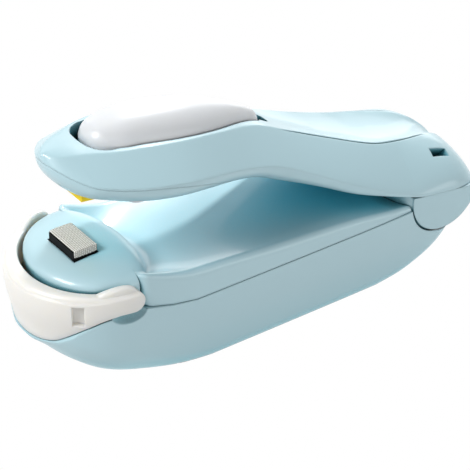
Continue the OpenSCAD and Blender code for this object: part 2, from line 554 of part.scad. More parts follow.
split_line = [[x_front + 7.29, lever_z - 1.5], [x_front + 8.93, lever_z - 2.4],
  [x_front + 10.55, lever_z - 3.4], [x_front + 13, lever_z - 4.5], [x_front + 17, lever_z - 5.5],
  [x_front + 21, lever_z - 6.1], [x_front + 28, lever_z - 7], [x_front + 34, lever_z - 8],
  [x_front + 41, lever_z - 9.7], [x_front + 47, lever_z - 12], [mid_x(0.25), mid_z(0.25, -7.85)],
  [mid_x(0.45), mid_z(0.45, -4.87)], [mid_x(0.7), mid_z(0.7, -1.42)], [hx - 14, hz + 3.6],
  [hx - 8, hz + 1.2]];
lever_x = [x_front + 7.7, x_front + 7.87, x_front + 8.27, x_front + 8.93, x_front + 10.07,
  x_front + 11.53, x_front + 13.2, x_front + 15.6, x_front + 18.2, x_front + 21.5, x_front + 25.5,
  x_front + 30, x_front + 35, x_front + 40, x_front + 45, mid_x(0.06), mid_x(0.16), mid_x(0.25),
  mid_x(0.34), mid_x(0.42), mid_x(0.53), mid_x(0.62), mid_x(0.75), mid_x(0.88), hx - 14, hx - 10,
  hx - 6, hx - 2, hx + 2, x_rear - 8, x_rear - 5.5, x_rear - 3.5, x_rear - 2, x_rear - 1,
  x_rear - 0.3, x_rear];
function lever_ring(x) =
  let (zt = curve(top_line, x), wt = curve(crease_line, x), wm = curve(wide_line, x),
    zm = curve(mid_line, x), zb = curve(belly_line, x), rear = max(0, min(1, (x - mid_x(0.125)) / 25)),
    e = 2 / (2.4 + 2 * rear), dip = rear * 0.9, f = 2 / (1.1 + 0.35 * rear),
    side = [for (a = [0:18:90])
      [wt + (wm - wt) * spow(cos(a), f), zm + (zt - zm) * spow(sin(a), f)]],
    top = [for (t = [-0.66, -0.33, 0, 0.33, 0.66]) [wt * t, zt + (0.6 - 2 * dip) * (1 - t * t)]],
    low = [for (i = [0:16]) let (a = 180 * (i + 0.5) / 17)
      [wm * spow(cos(a), e), zm - (zm - zb) * spow(sin(a), e)]])
  concat([for (p = side) [-p[0], p[1]]], top, flip(side), low);
module lever_body() loft([for (x = lever_x) at_x(x, lever_ring(x))]);
split_x = [x_front + 7.29, x_front + 10.55, x_front + 14, x_front + 18, x_front + 23, x_front + 28,
  x_front + 34, x_front + 41, mid_x(0.03), mid_x(0.15), mid_x(0.28), mid_x(0.4), mid_x(0.55),
  mid_x(0.7), mid_x(0.85), hx - 14, hx - 10, hx - 8];
split = concat([for (x = split_x) [x, curve(split_line, x)]],
  [[hx, split_z], [x_rear + 3, split_z - 2.2]]);

// Half outline of the button in plan, as distance along it against half-width.
pad_front = x_front + 17.8;
pad_keys = [[0, 0.17], [0.007, 0.32], [0.023, 0.49], [0.058, 0.68], [0.131, 0.86], [0.21, 0.92],
  [0.294, 0.97], [0.379, 1], [0.456, 0.99], [0.542, 0.94], [0.643, 0.83], [0.776, 0.61], [0.91, 0.36],
  [0.963, 0.28], [0.991, 0.2], [1, 0.12]];
pad_t = [for (k = pad_keys) k[0]];
function pad_w(t) = button_w * curve(pad_keys, t);
function pad_x(t) = pad_front + button_l * t;
function pad_z(x) = curve(top_line, x);
function pad_ring(t) =
  let (x = pad_x(t), w = pad_w(t), z = pad_z(x), u = pow(t, 0.75),
    q = min(1, t / 0.06, (1 - t) / 0.03), e = 0.15 + 0.85 * sqrt(1 - pow(1 - q, 2)),
    c = e * (1.6 + (crown_h - 1.3) * (1 - pow(abs(2 * u - 1), 2.4))),
    ys = [-1, -0.97, -0.9, -0.78, -0.6, -0.4, -0.2, 0, 0.2, 0.4, 0.6, 0.78, 0.9, 0.97, 1])
  concat([for (s = ys) [s * w, z - 0.7 + (c + 0.7) * pow(1 - pow(abs(s), 2.6), 1 / 1.6)]],
    [for (i = [14:-1:0]) [ys[i] * w, z - 4]]);
screw_x = x_front + 23.4;
screw_y = lobe_w - 5.8;
screw_z = lever_z - 8.8;
stem_x = x_front + 37;
stem_z = pad_z(stem_x) - 4;
stem_l = 2.2;
switch_z = -stem_l - button_travel - 0.4;
switch_h = 2.4;
board_t = 1;
module on_button() translate([stem_x, 0, stem_z]) rotate([0, button_slope, 0]) children();
module thumb_button() color([0.93, 0.93, 0.92]) {
  loft([for (t = pad_t) at_x(pad_x(t), pad_ring(t))]);
  on_button() translate([0, 0, -stem_l]) cylinder(r = stem_r, h = stem_l + 1);
}
module button_pocket() {
  g = button_gap;
  half = [for (t = pad_t) if (t > 0.1) [pad_x(t), pad_w(t) + g]];
  w = button_w + g;
  rim = concat([[pad_front - 2.3, w * 0.08], [pad_front - 2.2, w * 0.21], [pad_front - 1.9, w * 0.37],
    [pad_front - 1, w * 0.54], [pad_front + 0.5, w * 0.69], [pad_front + 2.7, w * 0.81]], half,
    [[pad_x(1) + 1.8, 1.7], [pad_x(1) + 2.6, 1.2]]);
  end = pad_x(1) + 4.4;
  floor = [for (i = [0:8]) under(pad_front - 3 + (end - pad_front + 3) * i / 8, 4.3 + button_travel)];
  intersection() {
    translate([0, 0, hz + 10]) linear_extrude(40)
      polygon(concat(rim, flip([for (p = rim) [p[0], -p[1]]])));
    across(concat(floor, [[end, lever_z + 25], [pad_front - 3, lever_z + 25]]), 60);
  }
}

module lever_shell() color([0.66, 0.82, 0.88]) {
  difference() {
    intersection() {
      lever_body();
      across(concat(split, [[x_rear + 3, 90], [x_front + 6, 90]]), 60);
    }
    button_pocket();
    on_button() translate([0, 0, -8]) cylinder(r = stem_r + 0.5, h = 10);
    // switch chamber under the button and the hollow of the tail
    across([[x_front + 27, lever_z - 24], under(x_front + 27, 6.9), under(x_front + 46, 6.6),
      under(mid_x(0.28), 6.4), [mid_x(0.28), lever_z - 24]], 19);
    across([[mid_x(0.25), hz + 10], under(mid_x(0.25), 7), under(mid_x(0.5), 2.7), under(mid_x(0.7), 3),
      under(hx - 14, 3), under(hx - 6, 2.6), under(hx + 2, 2.7), under(x_rear - 7, 2.9),
      [x_rear - 7, hz - 10], [hx - 14, hz - 10]], 13);
    both() translate([screw_x, screw_y, 0]) cylinder(d = thread_d - 0.24, h = screw_z + 4.3);
    cyl_y(hx, hz, sleeve_r, -ear_in, ear_in);
    cyl_y(hx, hz, boss_r + 0.3, -ear_in - boss_t - 0.2, ear_in + boss_t + 0.2);
    both() translate([hx + 2.6, tail_w - 6.3, hz + 6.2]) rotate([0, 17, 0]) rotate([-32, 0, 0])
      cube([lanyard_l, lanyard_h, 4.4], center = true);
  }
}

module lever_frame() color([0.6, 0.76, 0.82]) {
  difference() {
    union() {
      // belly of the lever
      intersection() {
        lever_body();
        across(concat([for (p = split) if (p[0] < hx - 9.5) p], [[hx - 9, hz + 1.42],
          [hx - 9, 0], [x_front + 6, 0]]), 60);
      }
      // ears on each side of the knuckle
      intersection() {
        barrel(0, ear_in, barrel_end, ear_out);
        across([[hx - 14, hz + 3], [hx - 9, hz + 1.42], [hx - 8, hz + 1.2], [hx, split_z],
          [x_rear + 3, split_z - 2.2], [x_rear + 3, 0], [hx - 14, 0]], 60);
      }
      // hood across the rear
      intersection() {
        difference() {
          barrel(0, 0, ear_in, 0);
          cyl_y(hx, hz, hood_r, -30, 30);
        }
        across([[hx, split_z], [hx + 20, hz - 27], [x_rear + 3, hz - 27], [x_rear + 3, split_z - 2.2]], 60);
      }
      both() cyl_y(hx, hz, boss_r, ear_in, ear_in + boss_t);
    }
    cyl_y(hx, hz, sleeve_r, -ear_in, ear_in);
    both() cyl_y(hx, hz, pin_r + 0.01, ear_in - 1, ear_in + 3);
    // room for the switch, and the seat of the press pad
    across([[x_front + 27, lever_z], [x_front + 27, lever_z - 11.3], [x_front + 37, lever_z - 12.4],
      [x_front + 52, lever_z - 15], [x_front + 52, lever_z]], 19);
    on_button() translate([-7.2, -6.2, switch_z - switch_h - board_t]) cube([14.4, 12.4, 9]);
    about_hinge(open_deg) box(heat_x - press_w / 2, heat_x + press_w / 2, -press_l / 2, press_l / 2,
      cloth_z, cloth_z + jaw_gap + press_h);
    both() translate([screw_x, screw_y, 0]) {
      cylinder(d = thread_d + 0.4, h = 80);
      cylinder(d = head_d + 0.6, h = screw_z);
    }
  }
}

module press_pad() color([0.92, 0.82, 0.12]) {
  z = cloth_z + jaw_gap;
  about_hinge(open_deg)
    box(heat_x - press_w / 2, heat_x + press_w / 2, -press_l / 2, press_l / 2, z, z + press_h);
}

module switch_plunger() color([0.85, 0.85, 0.8])
  on_button() translate([0, 0, switch_z - 0.3]) cylinder(r = plunger_r, h = -stem_l - switch_z + 0.3);
module switch_body() color([0.1, 0.1, 0.1])
  on_button() difference() {
    translate([-3, -3, switch_z - switch_h]) cube([6, 6, switch_h]);
    translate([0, 0, switch_z - button_travel - 0.6]) cylinder(r = plunger_r + 0.08, h = 3);
  }
module switch_board() color([0.1, 0.4, 0.2])
  on_button() translate([-7, -6, switch_z - switch_h - board_t]) cube([14, 12, board_t]);
lead_r = 0.5;
function lead(x, up) = [x, curve(split_line, x) + up];
module lever_leads() color([0.75, 0.12, 0.1]) {
  line = [[stem_x + 5.6, lever_z - 12.3], lead(x_front + 47, -0.3), lead(mid_x(0.08), 0.6),
    lead(mid_x(0.16), 0.9), lead(mid_x(0.25), 1), lead(mid_x(0.35), 1.2), lead(mid_x(0.55), 1.9),
    lead(hx - 16, 3.1), lead(hx - 11, 3.2)];
  for (s = [-1, 1]) wire([for (p = line) [p[0], s * 2.6, p[1]]], lead_r, [0, 1, 0]);
}
module lever_screws() color([0.6, 0.6, 0.62])
  both() translate([screw_x, screw_y, screw_z]) screw(4);

lower_shell();
upper_shell();
battery_door();
battery_near();
battery_far();
battery_springs();
front_contacts();
bridge_contact();
base_leads();
base_screws();
heater_block();
heater_ribbon();
heater_cloth();
heater_terminals();
safety_guard();
hinge_pin();
return_spring();
lever_shell();
lever_frame();
press_pad();
thumb_button();
switch_plunger();
switch_body();
switch_board();
lever_leads();
lever_screws();
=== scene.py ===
import json
import math
import bpy
import bmesh
import numpy as np
from mathutils import Matrix, Vector


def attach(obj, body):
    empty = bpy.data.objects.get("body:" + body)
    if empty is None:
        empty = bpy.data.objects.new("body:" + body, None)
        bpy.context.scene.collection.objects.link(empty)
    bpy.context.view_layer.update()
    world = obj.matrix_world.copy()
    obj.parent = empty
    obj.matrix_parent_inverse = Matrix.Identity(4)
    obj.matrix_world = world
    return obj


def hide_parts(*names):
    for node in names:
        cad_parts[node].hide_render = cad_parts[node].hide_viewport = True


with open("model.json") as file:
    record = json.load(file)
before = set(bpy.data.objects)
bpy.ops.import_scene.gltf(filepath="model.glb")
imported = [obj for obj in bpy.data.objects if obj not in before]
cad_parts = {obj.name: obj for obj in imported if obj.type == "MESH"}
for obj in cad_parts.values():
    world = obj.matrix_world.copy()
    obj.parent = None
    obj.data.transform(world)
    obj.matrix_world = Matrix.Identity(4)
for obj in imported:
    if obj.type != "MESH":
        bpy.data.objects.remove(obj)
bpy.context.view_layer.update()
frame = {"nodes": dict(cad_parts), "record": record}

# Sizes of the part in mm, as in its source. X runs to the rear, Y to the far side and Z up.
MM = 0.001
XF, XR = -57.0, 57.0  # front and rear end
NX = -37.5  # where the round of the nose begins
HX, HZ = 44.0, 20.0  # hinge of the lever
HALF, SEAM = 18.4, 18.4  # base: half width, height of the parting line
EDGE, DRAFT = 4.2, 0.6  # base: radius of the lower edge, draft of the sides
SHOULDER, SADDLE = 28.4, 22.8  # base: height beside the nose and in the saddle
DOME, ROOF = 29.3, 3.6  # nose dome: top, rise above its foot
NOSE_L, NOSE_W, BACK = 14.6, 32.4, 6.8  # nose dome: length, width, length to the rear
GUARD_L, GUARD_Y, GUARD_Z = 19.5, 18.6, 26.3  # guard: length, half width, top
ARM_R = 2.35  # guard: radius of the hubs
PX, PZ = NX - 2, GUARD_Z - ARM_R  # hinge of the guard
LEDGE = PZ - ARM_R - 0.4  # step of the base under the hubs
LZ = 53.4  # lever: top
LOBE, WAIST, TAIL = 16.2, 13.0, 17.9  # lever: half widths at the front, middle and rear
LEVER_X0 = XF + 7.7  # lever: front end
BARREL, EAR_Y = 13.0, 17.4  # hinge ears: radius, half width
BUTTON_L, BUTTON_W, CROWN = 42.8, 7.6, 4.4  # thumb pad: length, half width, crown
GAP = 0.6  # between the thumb pad and its pocket
HEAT_X, CLOTH_Z = NX - 5.2, DOME + 2.0  # heater: middle, top of its cover
OPEN_DEG = 7  # how far the lever rests open
CUT_W, PAST = 60, 5  # tools that cut right across: their width, how far they pass the rear end
PART_GAP = 0.05  # half the gap of the base's parting line
SPLIT_GAP = 0.01  # half the gap of the lever's parting line


# Curves and meshes
def unit(v):
    """A number held between 0 and 1."""
    return max(0, min(1, v))


def curve(keys, x):
    """Smooth curve through keys [x, value], flat beyond its ends."""
    k = np.array(keys, float)
    x = np.asarray(x, float)
    s = np.empty(len(k))
    s[1:-1] = (k[2:, 1] - k[:-2, 1]) / (k[2:, 0] - k[:-2, 0])
    s[0] = (k[1, 1] - k[0, 1]) / (k[1, 0] - k[0, 0])
    s[-1] = (k[-1, 1] - k[-2, 1]) / (k[-1, 0] - k[-2, 0])
    xc = np.clip(x, k[0, 0], k[-1, 0])
    i = np.clip(np.searchsorted(k[:, 0], xc) - 1, 0, len(k) - 2)
    h = k[i + 1, 0] - k[i, 0]
    t = (xc - k[i, 0]) / h
    return (k[i, 1] * (1 + 2 * t) * (1 - t) ** 2 + s[i] * h * t * (1 - t) ** 2
            + k[i + 1, 1] * t * t * (3 - 2 * t) + s[i + 1] * h * t * t * (t - 1))


def value(keys, x):
    return float(curve(keys, x))


def fine(xs, n):
    """Each interval of the list cut into n."""
    xs = np.array(xs, float)
    return np.append((xs[:-1, None] + np.diff(xs)[:, None] * np.arange(n) / n).ravel(), xs[-1])


def spow(c, e):
    """A power that keeps the sign."""
    return np.sign(c) * np.abs(c) ** e


def mesh_object(name, verts, faces):
    """An object from points in mm, with its faces turned outwards."""
    me = bpy.data.meshes.new(name)
    me.from_pydata([tuple(v) for v in np.asarray(verts, float) * MM], [], faces)
    me.update()
    ob = bpy.data.objects.new(name, me)
    bpy.context.scene.collection.objects.link(ob)
    bm = bmesh.new()
    bm.from_mesh(me)
    bmesh.ops.recalc_face_normals(bm, faces=bm.faces)
    bm.to_mesh(me)
    bm.free()
    return ob


def loft(name, rings):
    """A closed solid through rings of points, with flat ends."""
    rings = np.asarray(rings, float)
    m, n, _ = rings.shape
    faces = [(j * n + i, j * n + (i + 1) % n, (j + 1) * n + (i + 1) % n, (j + 1) * n + i)
             for j in range(m - 1) for i in range(n)]
    faces += [tuple(range(n)), tuple(range((m - 1) * n, m * n))]
    return mesh_object(name, rings.reshape(-1, 3), faces)


def circle(n):
    a = np.arange(n) * 2 * math.pi / n
    return list(zip(np.cos(a), np.sin(a)))


def prism(xz, w=CUT_W):
    """Tool: a prism across Y from an outline given as (x, z)."""
    return loft("tool", [[(x, y, z) for x, z in xz] for y in (-w / 2, w / 2)])


def turned(name, profile, at, n=160):
    """A solid of revolution about the Y axis through (x, z), from a profile of (radius, y)."""
    return loft(name, [[(at[0] + r * c, y, at[1] + r * s) for c, s in circle(n)]
                       for r, y in profile])


def pillar(at, r, z0, z1, n=48):
    """Tool: an upright cylinder."""
    return loft("tool", [[(at[0] + r * c, at[1] + r * s, z) for c, s in circle(n)]
                         for z in (z0, z1)])


def block(size, at, turn=None):
    """Tool: a box about a point, turned by a matrix."""
    sx, sy, sz = (s / 2 for s in size)
    v = np.array([(x, y, z) for x in (-sx, sx) for y in (-sy, sy) for z in (-sz, sz)])
    if turn is not None:
        v = np.array([turn @ Vector(p) for p in v])
    faces = [(0, 1, 3, 2), (4, 6, 7, 5), (0, 4, 5, 1), (2, 3, 7, 6), (0, 2, 6, 4), (1, 5, 7, 3)]
    return mesh_object("tool", v + np.array(at), faces)


def ball(at, radii):
    """Tool: an ellipsoid."""
    profile = [(max(0.01, math.sin(k)), -math.cos(k)) for k in np.linspace(0, math.pi, 49)]
    ob = turned("tool", profile, (0, 0), 96)
    ob.data.transform(Matrix.Translation(Vector(at) * MM) @ Matrix.Diagonal((*radii, 1)))
    return ob


def carve(ob, tool, op="DIFFERENCE"):
    """Apply a tool to an object, and remove the tool."""
    for solver in ("MANIFOLD", "EXACT"):
        m = ob.modifiers.new("carve", "BOOLEAN")
        m.operation, m.object, m.solver = op, tool, solver
        dg = bpy.context.evaluated_depsgraph_get()
        me = bpy.data.meshes.new_from_object(ob.evaluated_get(dg))
        ob.modifiers.clear()
        if len(me.polygons) > 3:
            break
    old, ob.data = ob.data, me
    bpy.data.meshes.remove(old)
    bpy.data.objects.remove(tool)


def soften(ob, angle):
    """Smooth shading, with edges over the angle left sharp."""
    bm = bmesh.new()
    bm.from_mesh(ob.data)
    bmesh.ops.remove_doubles(bm, verts=bm.verts, dist=1e-7)
    for f in bm.faces:
        f.smooth = True
    for e in bm.edges:
        e.smooth = e.calc_face_angle(0) < math.radians(angle)
    bm.to_mesh(ob.data)
    bm.free()


# Materials. Lengths in them are in metres.
COAT_ROUGH = 0.12
UNEVEN, FADE = 0.025, 0.02  # how far roughness and colour vary over a surface
PATCH_SCALE, GRAIN_SCALE, GRAIN_DEPTH = 30, 3000, 0.00005
GLOW_RADIUS, GLOW_SCALE = (1.0, 0.9, 0.7), 0.003  # light that passes through white plastic
# painted shade in hollows and narrow gaps: how far it reaches, the range of occlusion over which
# it comes in, and what it leaves of the colour or the shade colour that it goes to
HOLLOW, HOLLOW_FROM, HOLLOW_LEAST = 0.025, (0.08, 0.6), 0.2
CREVICE, CREVICE_FROM, GAP_SHADE_RGB = 0.004, (0.12, 0.6), (20, 48, 58)
WAVE_SCALE, CHECK_SCALE, WEAVE_DEPTH = 690, 4330, 0.00012
# cloth colours: painted shade in the weave's dips, and the threads' own pale colour
WEAVE_DIP_SHADE, WEAVE_PALE = (178, 173, 164), (253, 251, 247)


def lin(r, g, b):
    """Linear colour from sRGB values of 0 to 255."""
    return [c / 12.92 if c <= 0.04045 else ((c + 0.055) / 1.055) ** 2.4
            for c in (r / 255, g / 255, b / 255)]


def wire(tree, node, inputs):
    """Set a node's inputs. Each is a value, or the output socket that it is linked from."""
    for key, v in inputs.items():
        if isinstance(v, bpy.types.NodeSocket):
            tree.links.new(v, node.inputs[key])
        else:
            node.inputs[key].default_value = v


def add(tree, kind, inputs=None, **settings):
    node = tree.nodes.new("ShaderNode" + kind)
    for key, v in settings.items():
        setattr(node, key, v)
    wire(tree, node, inputs or {})
    return node


def shader(name):
    """A new material, its node tree and its shader."""
    m = bpy.data.materials.new(name)
    m.use_nodes = True
    return m, m.node_tree, m.node_tree.nodes["Principled BSDF"]


def mixed(tree, factor, a, b):
    node = add(tree, "Mix", {"Factor": factor, "A": a, "B": b}, data_type="RGBA")
    return node.outputs["Result"]


def shade_mask(tree, distance, start, least=0.0):
    """1 on open surfaces, and down to the least value where others stand close: the mask of
    painted shade.
    """
    ao = add(tree, "AmbientOcclusion", {"Distance": distance}, samples=8)
    scale = add(tree, "MapRange", {"From Min": start[0], "From Max": start[1], "To Min": least,
                                   "Value": ao.outputs["AO"]})
    return scale.outputs["Result"]


def material(name, rgb, rough, spec=0.5, coat=0.0, metal=0.0, grain=0.0, edge=0.0, sss=0.0,
             deep=None):
    """Moulded plastic or metal with a fine grain. Edge rounds the look of sharp edges. Deep is a
    colour of painted shade for hollows, where narrow gaps are also painted dark.
    """
    m, tree, bsdf = shader(name)
    colour = lin(*rgb)
    wire(tree, bsdf, {"Base Color": (*colour, 1), "Roughness": rough, "Specular IOR Level": spec,
                      "Metallic": metal, "Coat Weight": coat, "Coat Roughness": COAT_ROUGH})
    if sss:
        wire(tree, bsdf, {"Subsurface Weight": sss, "Subsurface Radius": GLOW_RADIUS,
                          "Subsurface Scale": GLOW_SCALE})
    place = add(tree, "TexCoord").outputs["Object"]
    patch = add(tree, "TexNoise", {"Scale": PATCH_SCALE, "Detail": 3,
                                   "Vector": place}).outputs["Fac"]
    uneven = add(tree, "MapRange", {"To Min": max(0.02, rough - UNEVEN), "To Max": rough + UNEVEN,
                                    "Value": patch})
    shade = mixed(tree, patch, (*colour, 1), (*[v * (1 - FADE) for v in colour], 1))
    if deep:
        # painted shade: in hollows the colour deepens to a saturated blue, standing in for the
        # shade there and the light reflected many times, and narrow gaps are painted dark as shade
        shade = mixed(tree, shade_mask(tree, HOLLOW, HOLLOW_FROM, HOLLOW_LEAST),
                      (*lin(*deep), 1), shade)
        shade = mixed(tree, shade_mask(tree, CREVICE, CREVICE_FROM),
                      (*lin(*GAP_SHADE_RGB), 1), shade)
    wire(tree, bsdf, {"Base Color": shade, "Roughness": uneven.outputs["Result"]})
    normal = {}
    if edge:
        bevel = add(tree, "Bevel", {"Radius": edge}, samples=6)
        normal = {"Normal": bevel.outputs["Normal"]}
    if grain:
        noise = add(tree, "TexNoise", {"Scale": GRAIN_SCALE, "Detail": 2, "Vector": place})
        bump = add(tree, "Bump", {"Strength": grain, "Distance": GRAIN_DEPTH,
                                  "Height": noise.outputs["Fac"], **normal})
        normal = {"Normal": bump.outputs["Normal"]}
    wire(tree, bsdf, normal)
    return m


def woven(name):
    """Glass cloth: threads that run over and under each other, with painted shade in the dips
    between them.
    """
    m, tree, bsdf = shader(name)
    wire(tree, bsdf, {"Roughness": 0.75, "Specular IOR Level": 0.25})
    place = add(tree, "TexCoord").outputs["Object"]
    warp, weft = (add(tree, "TexWave", {"Scale": WAVE_SCALE, "Distortion": 0.6, "Detail": 1,
                                        "Detail Scale": 900, "Vector": place},
                      bands_direction=axis).outputs["Fac"] for axis in ("X", "Y"))
    check = add(tree, "TexChecker", {"Scale": CHECK_SCALE, "Vector": place})
    height = add(tree, "Mix", {"Factor": check.outputs["Fac"], "A": warp,
                               "B": weft}).outputs["Result"]
    # the weave's dips get the darker colour: painted shade between the threads
    ramp = add(tree, "ValToRGB", {"Fac": height})
    for stop, rgb in zip(ramp.color_ramp.elements, (WEAVE_DIP_SHADE, WEAVE_PALE)):
        stop.color = (*lin(*rgb), 1)
    bump = add(tree, "Bump", {"Strength": 0.7, "Distance": WEAVE_DEPTH, "Height": height})
    wire(tree, bsdf, {"Base Color": ramp.outputs["Color"], "Normal": bump.outputs["Normal"]})
    return m


FINISH = {
    # deep: the painted shade colour of the blue plastic's hollows
    "blue_plastic": dict(rgb=(177, 209, 218), rough=0.42, coat=0.5, grain=0.06, edge=0.0006,
                         deep=(40, 205, 226)),
    "white_plastic": dict(rgb=(220, 223, 226), rough=0.36, coat=0.15, grain=0.04, edge=0.0003,
                          sss=0.15),
    "guard_plastic": dict(rgb=(234, 232, 227), rough=0.36, coat=0.15, grain=0.05, edge=0.0003,
                          sss=0.5),
    "yellow_rubber": dict(rgb=(238, 208, 18), rough=0.5, spec=0.4, grain=0.2),
    "heater_black": dict(rgb=(15, 15, 16), rough=0.7, spec=0.15, grain=0.2),
    "ribbon_metal": dict(rgb=(165, 160, 154), rough=0.35, metal=1.0, grain=0.2),
    "terminal_brass": dict(rgb=(205, 175, 95), rough=0.3, metal=1.0, grain=0.1),
    "contact_steel": dict(rgb=(205, 203, 196), rough=0.28, metal=1.0, grain=0.1),
    "pin_steel": dict(rgb=(190, 190, 194), rough=0.3, metal=1.0, grain=0.15),
    "lead_jacket": dict(rgb=(190, 40, 32), rough=0.45, grain=0.1),
    "cell_jacket": dict(rgb=(70, 118, 88), rough=0.3, coat=0.3, grain=0.05),
    "switch_black": dict(rgb=(28, 28, 28), rough=0.45, grain=0.15),
    "plunger_plastic": dict(rgb=(225, 225, 215), rough=0.4, grain=0.1),
    "board_green": dict(rgb=(32, 100, 58), rough=0.4, coat=0.3, grain=0.1),
}
MAT = {name: material(name, **look) for name, look in FINISH.items()}
MAT["woven_cloth"] = woven("woven_cloth")


def dress(ob, mat, body, nodes=(), angle=28):
    """Finish a piece: its material, its shading, its body and the nodes that it stands for."""
    ob.data.materials.clear()
    ob.data.materials.append(MAT[mat])
    soften(ob, angle)
    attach(ob, body)
    if nodes:
        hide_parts(*nodes)


# Base: the lower shell is a lofted hull, cut along the parting line. Keys give the height of its
# bottom and its half width.
BOTTOM = [[XF, 21], [XF + 1.2, 13.4], [XF + 4, 10.6], [XF + 7.5, 7.8], [XF + 13, 4.6],
          [NX + 1.5, 2], [NX + 9.5, 0.5], [NX + 18, 0], [NX + 19, 0], [HX - 19, 0], [HX - 18, 0],
          [HX - 10, 1.2], [HX - 2, 4.2], [HX + 4, 8], [HX + 9, 13], [HX + 11, 18]]
HULL = [[NX, HALF], [NX + 12, HALF + 0.1], [HX - 24, HALF + 0.1], [HX - 8, HALF - 0.2],
        [HX, HALF - 0.8], [HX + 6, HALF - 2.9], [HX + 9, HALF - 5.9], [HX + 11, HALF - 10.4]]
HULL_X = [XF + 0.2, XF + 0.7, XF + 1.5, XF + 2.6, XF + 4, XF + 6, XF + 8.5, XF + 11, XF + 13.5,
          XF + 16.5, NX, NX + 4, NX + 9.5, NX + 14, NX + 19, 0, HX - 18, HX - 13, HX - 9, HX - 5,
          HX - 1.5, HX + 1.5, HX + 4, HX + 6.5, HX + 9]
HULL_TOP = LEDGE + 1.2
HULL_BOW, HULL_LEAST = GUARD_L + 0.1, 0.6  # length of the round front, least height of a section
BOW_X, BOW_RUN, BOW_EDGE = NX + 20, 24, 3.8  # the lower edge gets rounder towards the front
EDGE_W, EDGE_H = 0.85, 0.8  # most of a section's width and height that the edge takes
BOW_TIP = 0.0004  # keeps the tip of a round front open
FRONT_CUT = XF - 1
CHIN = [[FRONT_CUT, 12.6], [XF + 1.5, 13], [XF + 2.6, 13.5], [XF + 3.9, 14.5], [XF + 5.4, 16.3],
        [XF + 7, 18], [XF + 8.6, 19.3], [XF + 11, 20.7], [XF + 14.4, PZ - ARM_R],
        [XF + 16, PZ - ARM_R]]  # lower edge of the guard
CHIN_X = np.linspace(FRONT_CUT, XF + 14.4, 60)
CHIN_GAP = 0.4
SEAM_KEYS = [(NX + 0.95, LEDGE), (NX + 7.5, SEAM + 1), (NX + 13.5, SEAM)]
BARREL_KEYS = [[0, BARREL], [6, BARREL - 0.15], [10, BARREL - 0.6], [13.3, BARREL - 1.3],
               [15, BARREL - 1.9], [16.6, BARREL - 2.8], [EAR_Y, BARREL - 3.6]]
SEAT_GAP, SEAT_Y = 0.5, 24  # round seat of the hinge ears: clearance, half width
SCOOP_AT, SCOOP_R = (PX - 1.3, HALF + 0.4, LEDGE + 0.2), (4.3, 3.4, 2.6)
BAY = (57, 30.8, 20.4), (1.7, 0, 9.2)  # size and middle of the battery bay,
CHANNEL = (84.8, 31.2, 3.4), (14.6, 0, 0.7)  # of the door's channel
RAILS = (84.8, 32.6, 0.9), (14.6, 0, 1.95)  # and of the grooves for its edges
BASE_SCREW, HEAD_R = (NX + 4, 11.4), 2.6


def bow_w(x, length, half):
    """Half width of a round front."""
    return half * math.sqrt(max(BOW_TIP, 1 - (max(0, NX - x) / length) ** 2))


def hull_w(x):
    return bow_w(x, HULL_BOW, HALF) if x < NX else value(HULL, x)


def hull_ring(x):
    """Section of the hull at x."""
    w, b = hull_w(x), min(value(BOTTOM, x), HULL_TOP - HULL_LEAST)
    bow = unit((BOW_X - x) / BOW_RUN)
    r = min(EDGE + BOW_EDGE * bow * bow * (3 - 2 * bow), w * EDGE_W, (HULL_TOP - b) * EDGE_H)
    f = w - DRAFT * min(1, w / HALF) - r
    arc = [(f + r * math.cos(a), b + r * (1 - math.sin(a)))
           for a in np.linspace(0, math.pi / 2, 16)]
    y1, z1 = arc[0]
    wall = [(w + (y1 - w) * t, HULL_TOP + (z1 - HULL_TOP) * t) for t in np.linspace(0, 1, 12)[:-1]]
    side = wall + arc
    low = [(f * t, b) for t in np.linspace(1, -1, 16)[1:-1]]
    left = [(-y, z) for y, z in reversed(side)]
    top = [(w * t, HULL_TOP) for t in np.linspace(-1, 1, 16)[1:-1]]
    return [(x, y, z) for y, z in side + low + left + top]


def chin(drop):
    return list(zip(CHIN_X, curve(CHIN, CHIN_X) - drop))


def seam_line(shift):
    """The base's parting line: under the guard, over the ledge and along the side."""
    return [(x, z + shift) for x, z in chin(CHIN_GAP) + SEAM_KEYS + [(XR + PAST, SEAM)]]


def barrel(name, grow, out):
    """The hinge ears' round body, with straight ends out to a half width."""
    prof = [(value(BARREL_KEYS, y) + grow, y) for y in np.linspace(0, EAR_Y, 40)]
    prof.append((prof[-1][0], out))
    return turned(name, [(r, -y) for r, y in reversed(prof[1:])] + prof, (HX, HZ))


lower = loft("base_lower", [hull_ring(x) for x in fine(HULL_X, 7)])
carve(lower, prism(seam_line(-PART_GAP) + [(XR + PAST, -PAST), (FRONT_CUT, -PAST)]), "INTERSECT")
carve(lower, barrel("tool", SEAT_GAP, SEAT_Y))
for s in (-1, 1):
    carve(lower, ball((SCOOP_AT[0], s * SCOOP_AT[1], SCOOP_AT[2]), SCOOP_R))
for size, middle in (BAY, CHANNEL, RAILS):
    carve(lower, block(size, middle))
for s in (-1, 1):
    carve(lower, pillar((BASE_SCREW[0], s * BASE_SCREW[1]), HEAD_R, -1, 8))
dress(lower, "blue_plastic", "base", nodes=["lower_shell"])

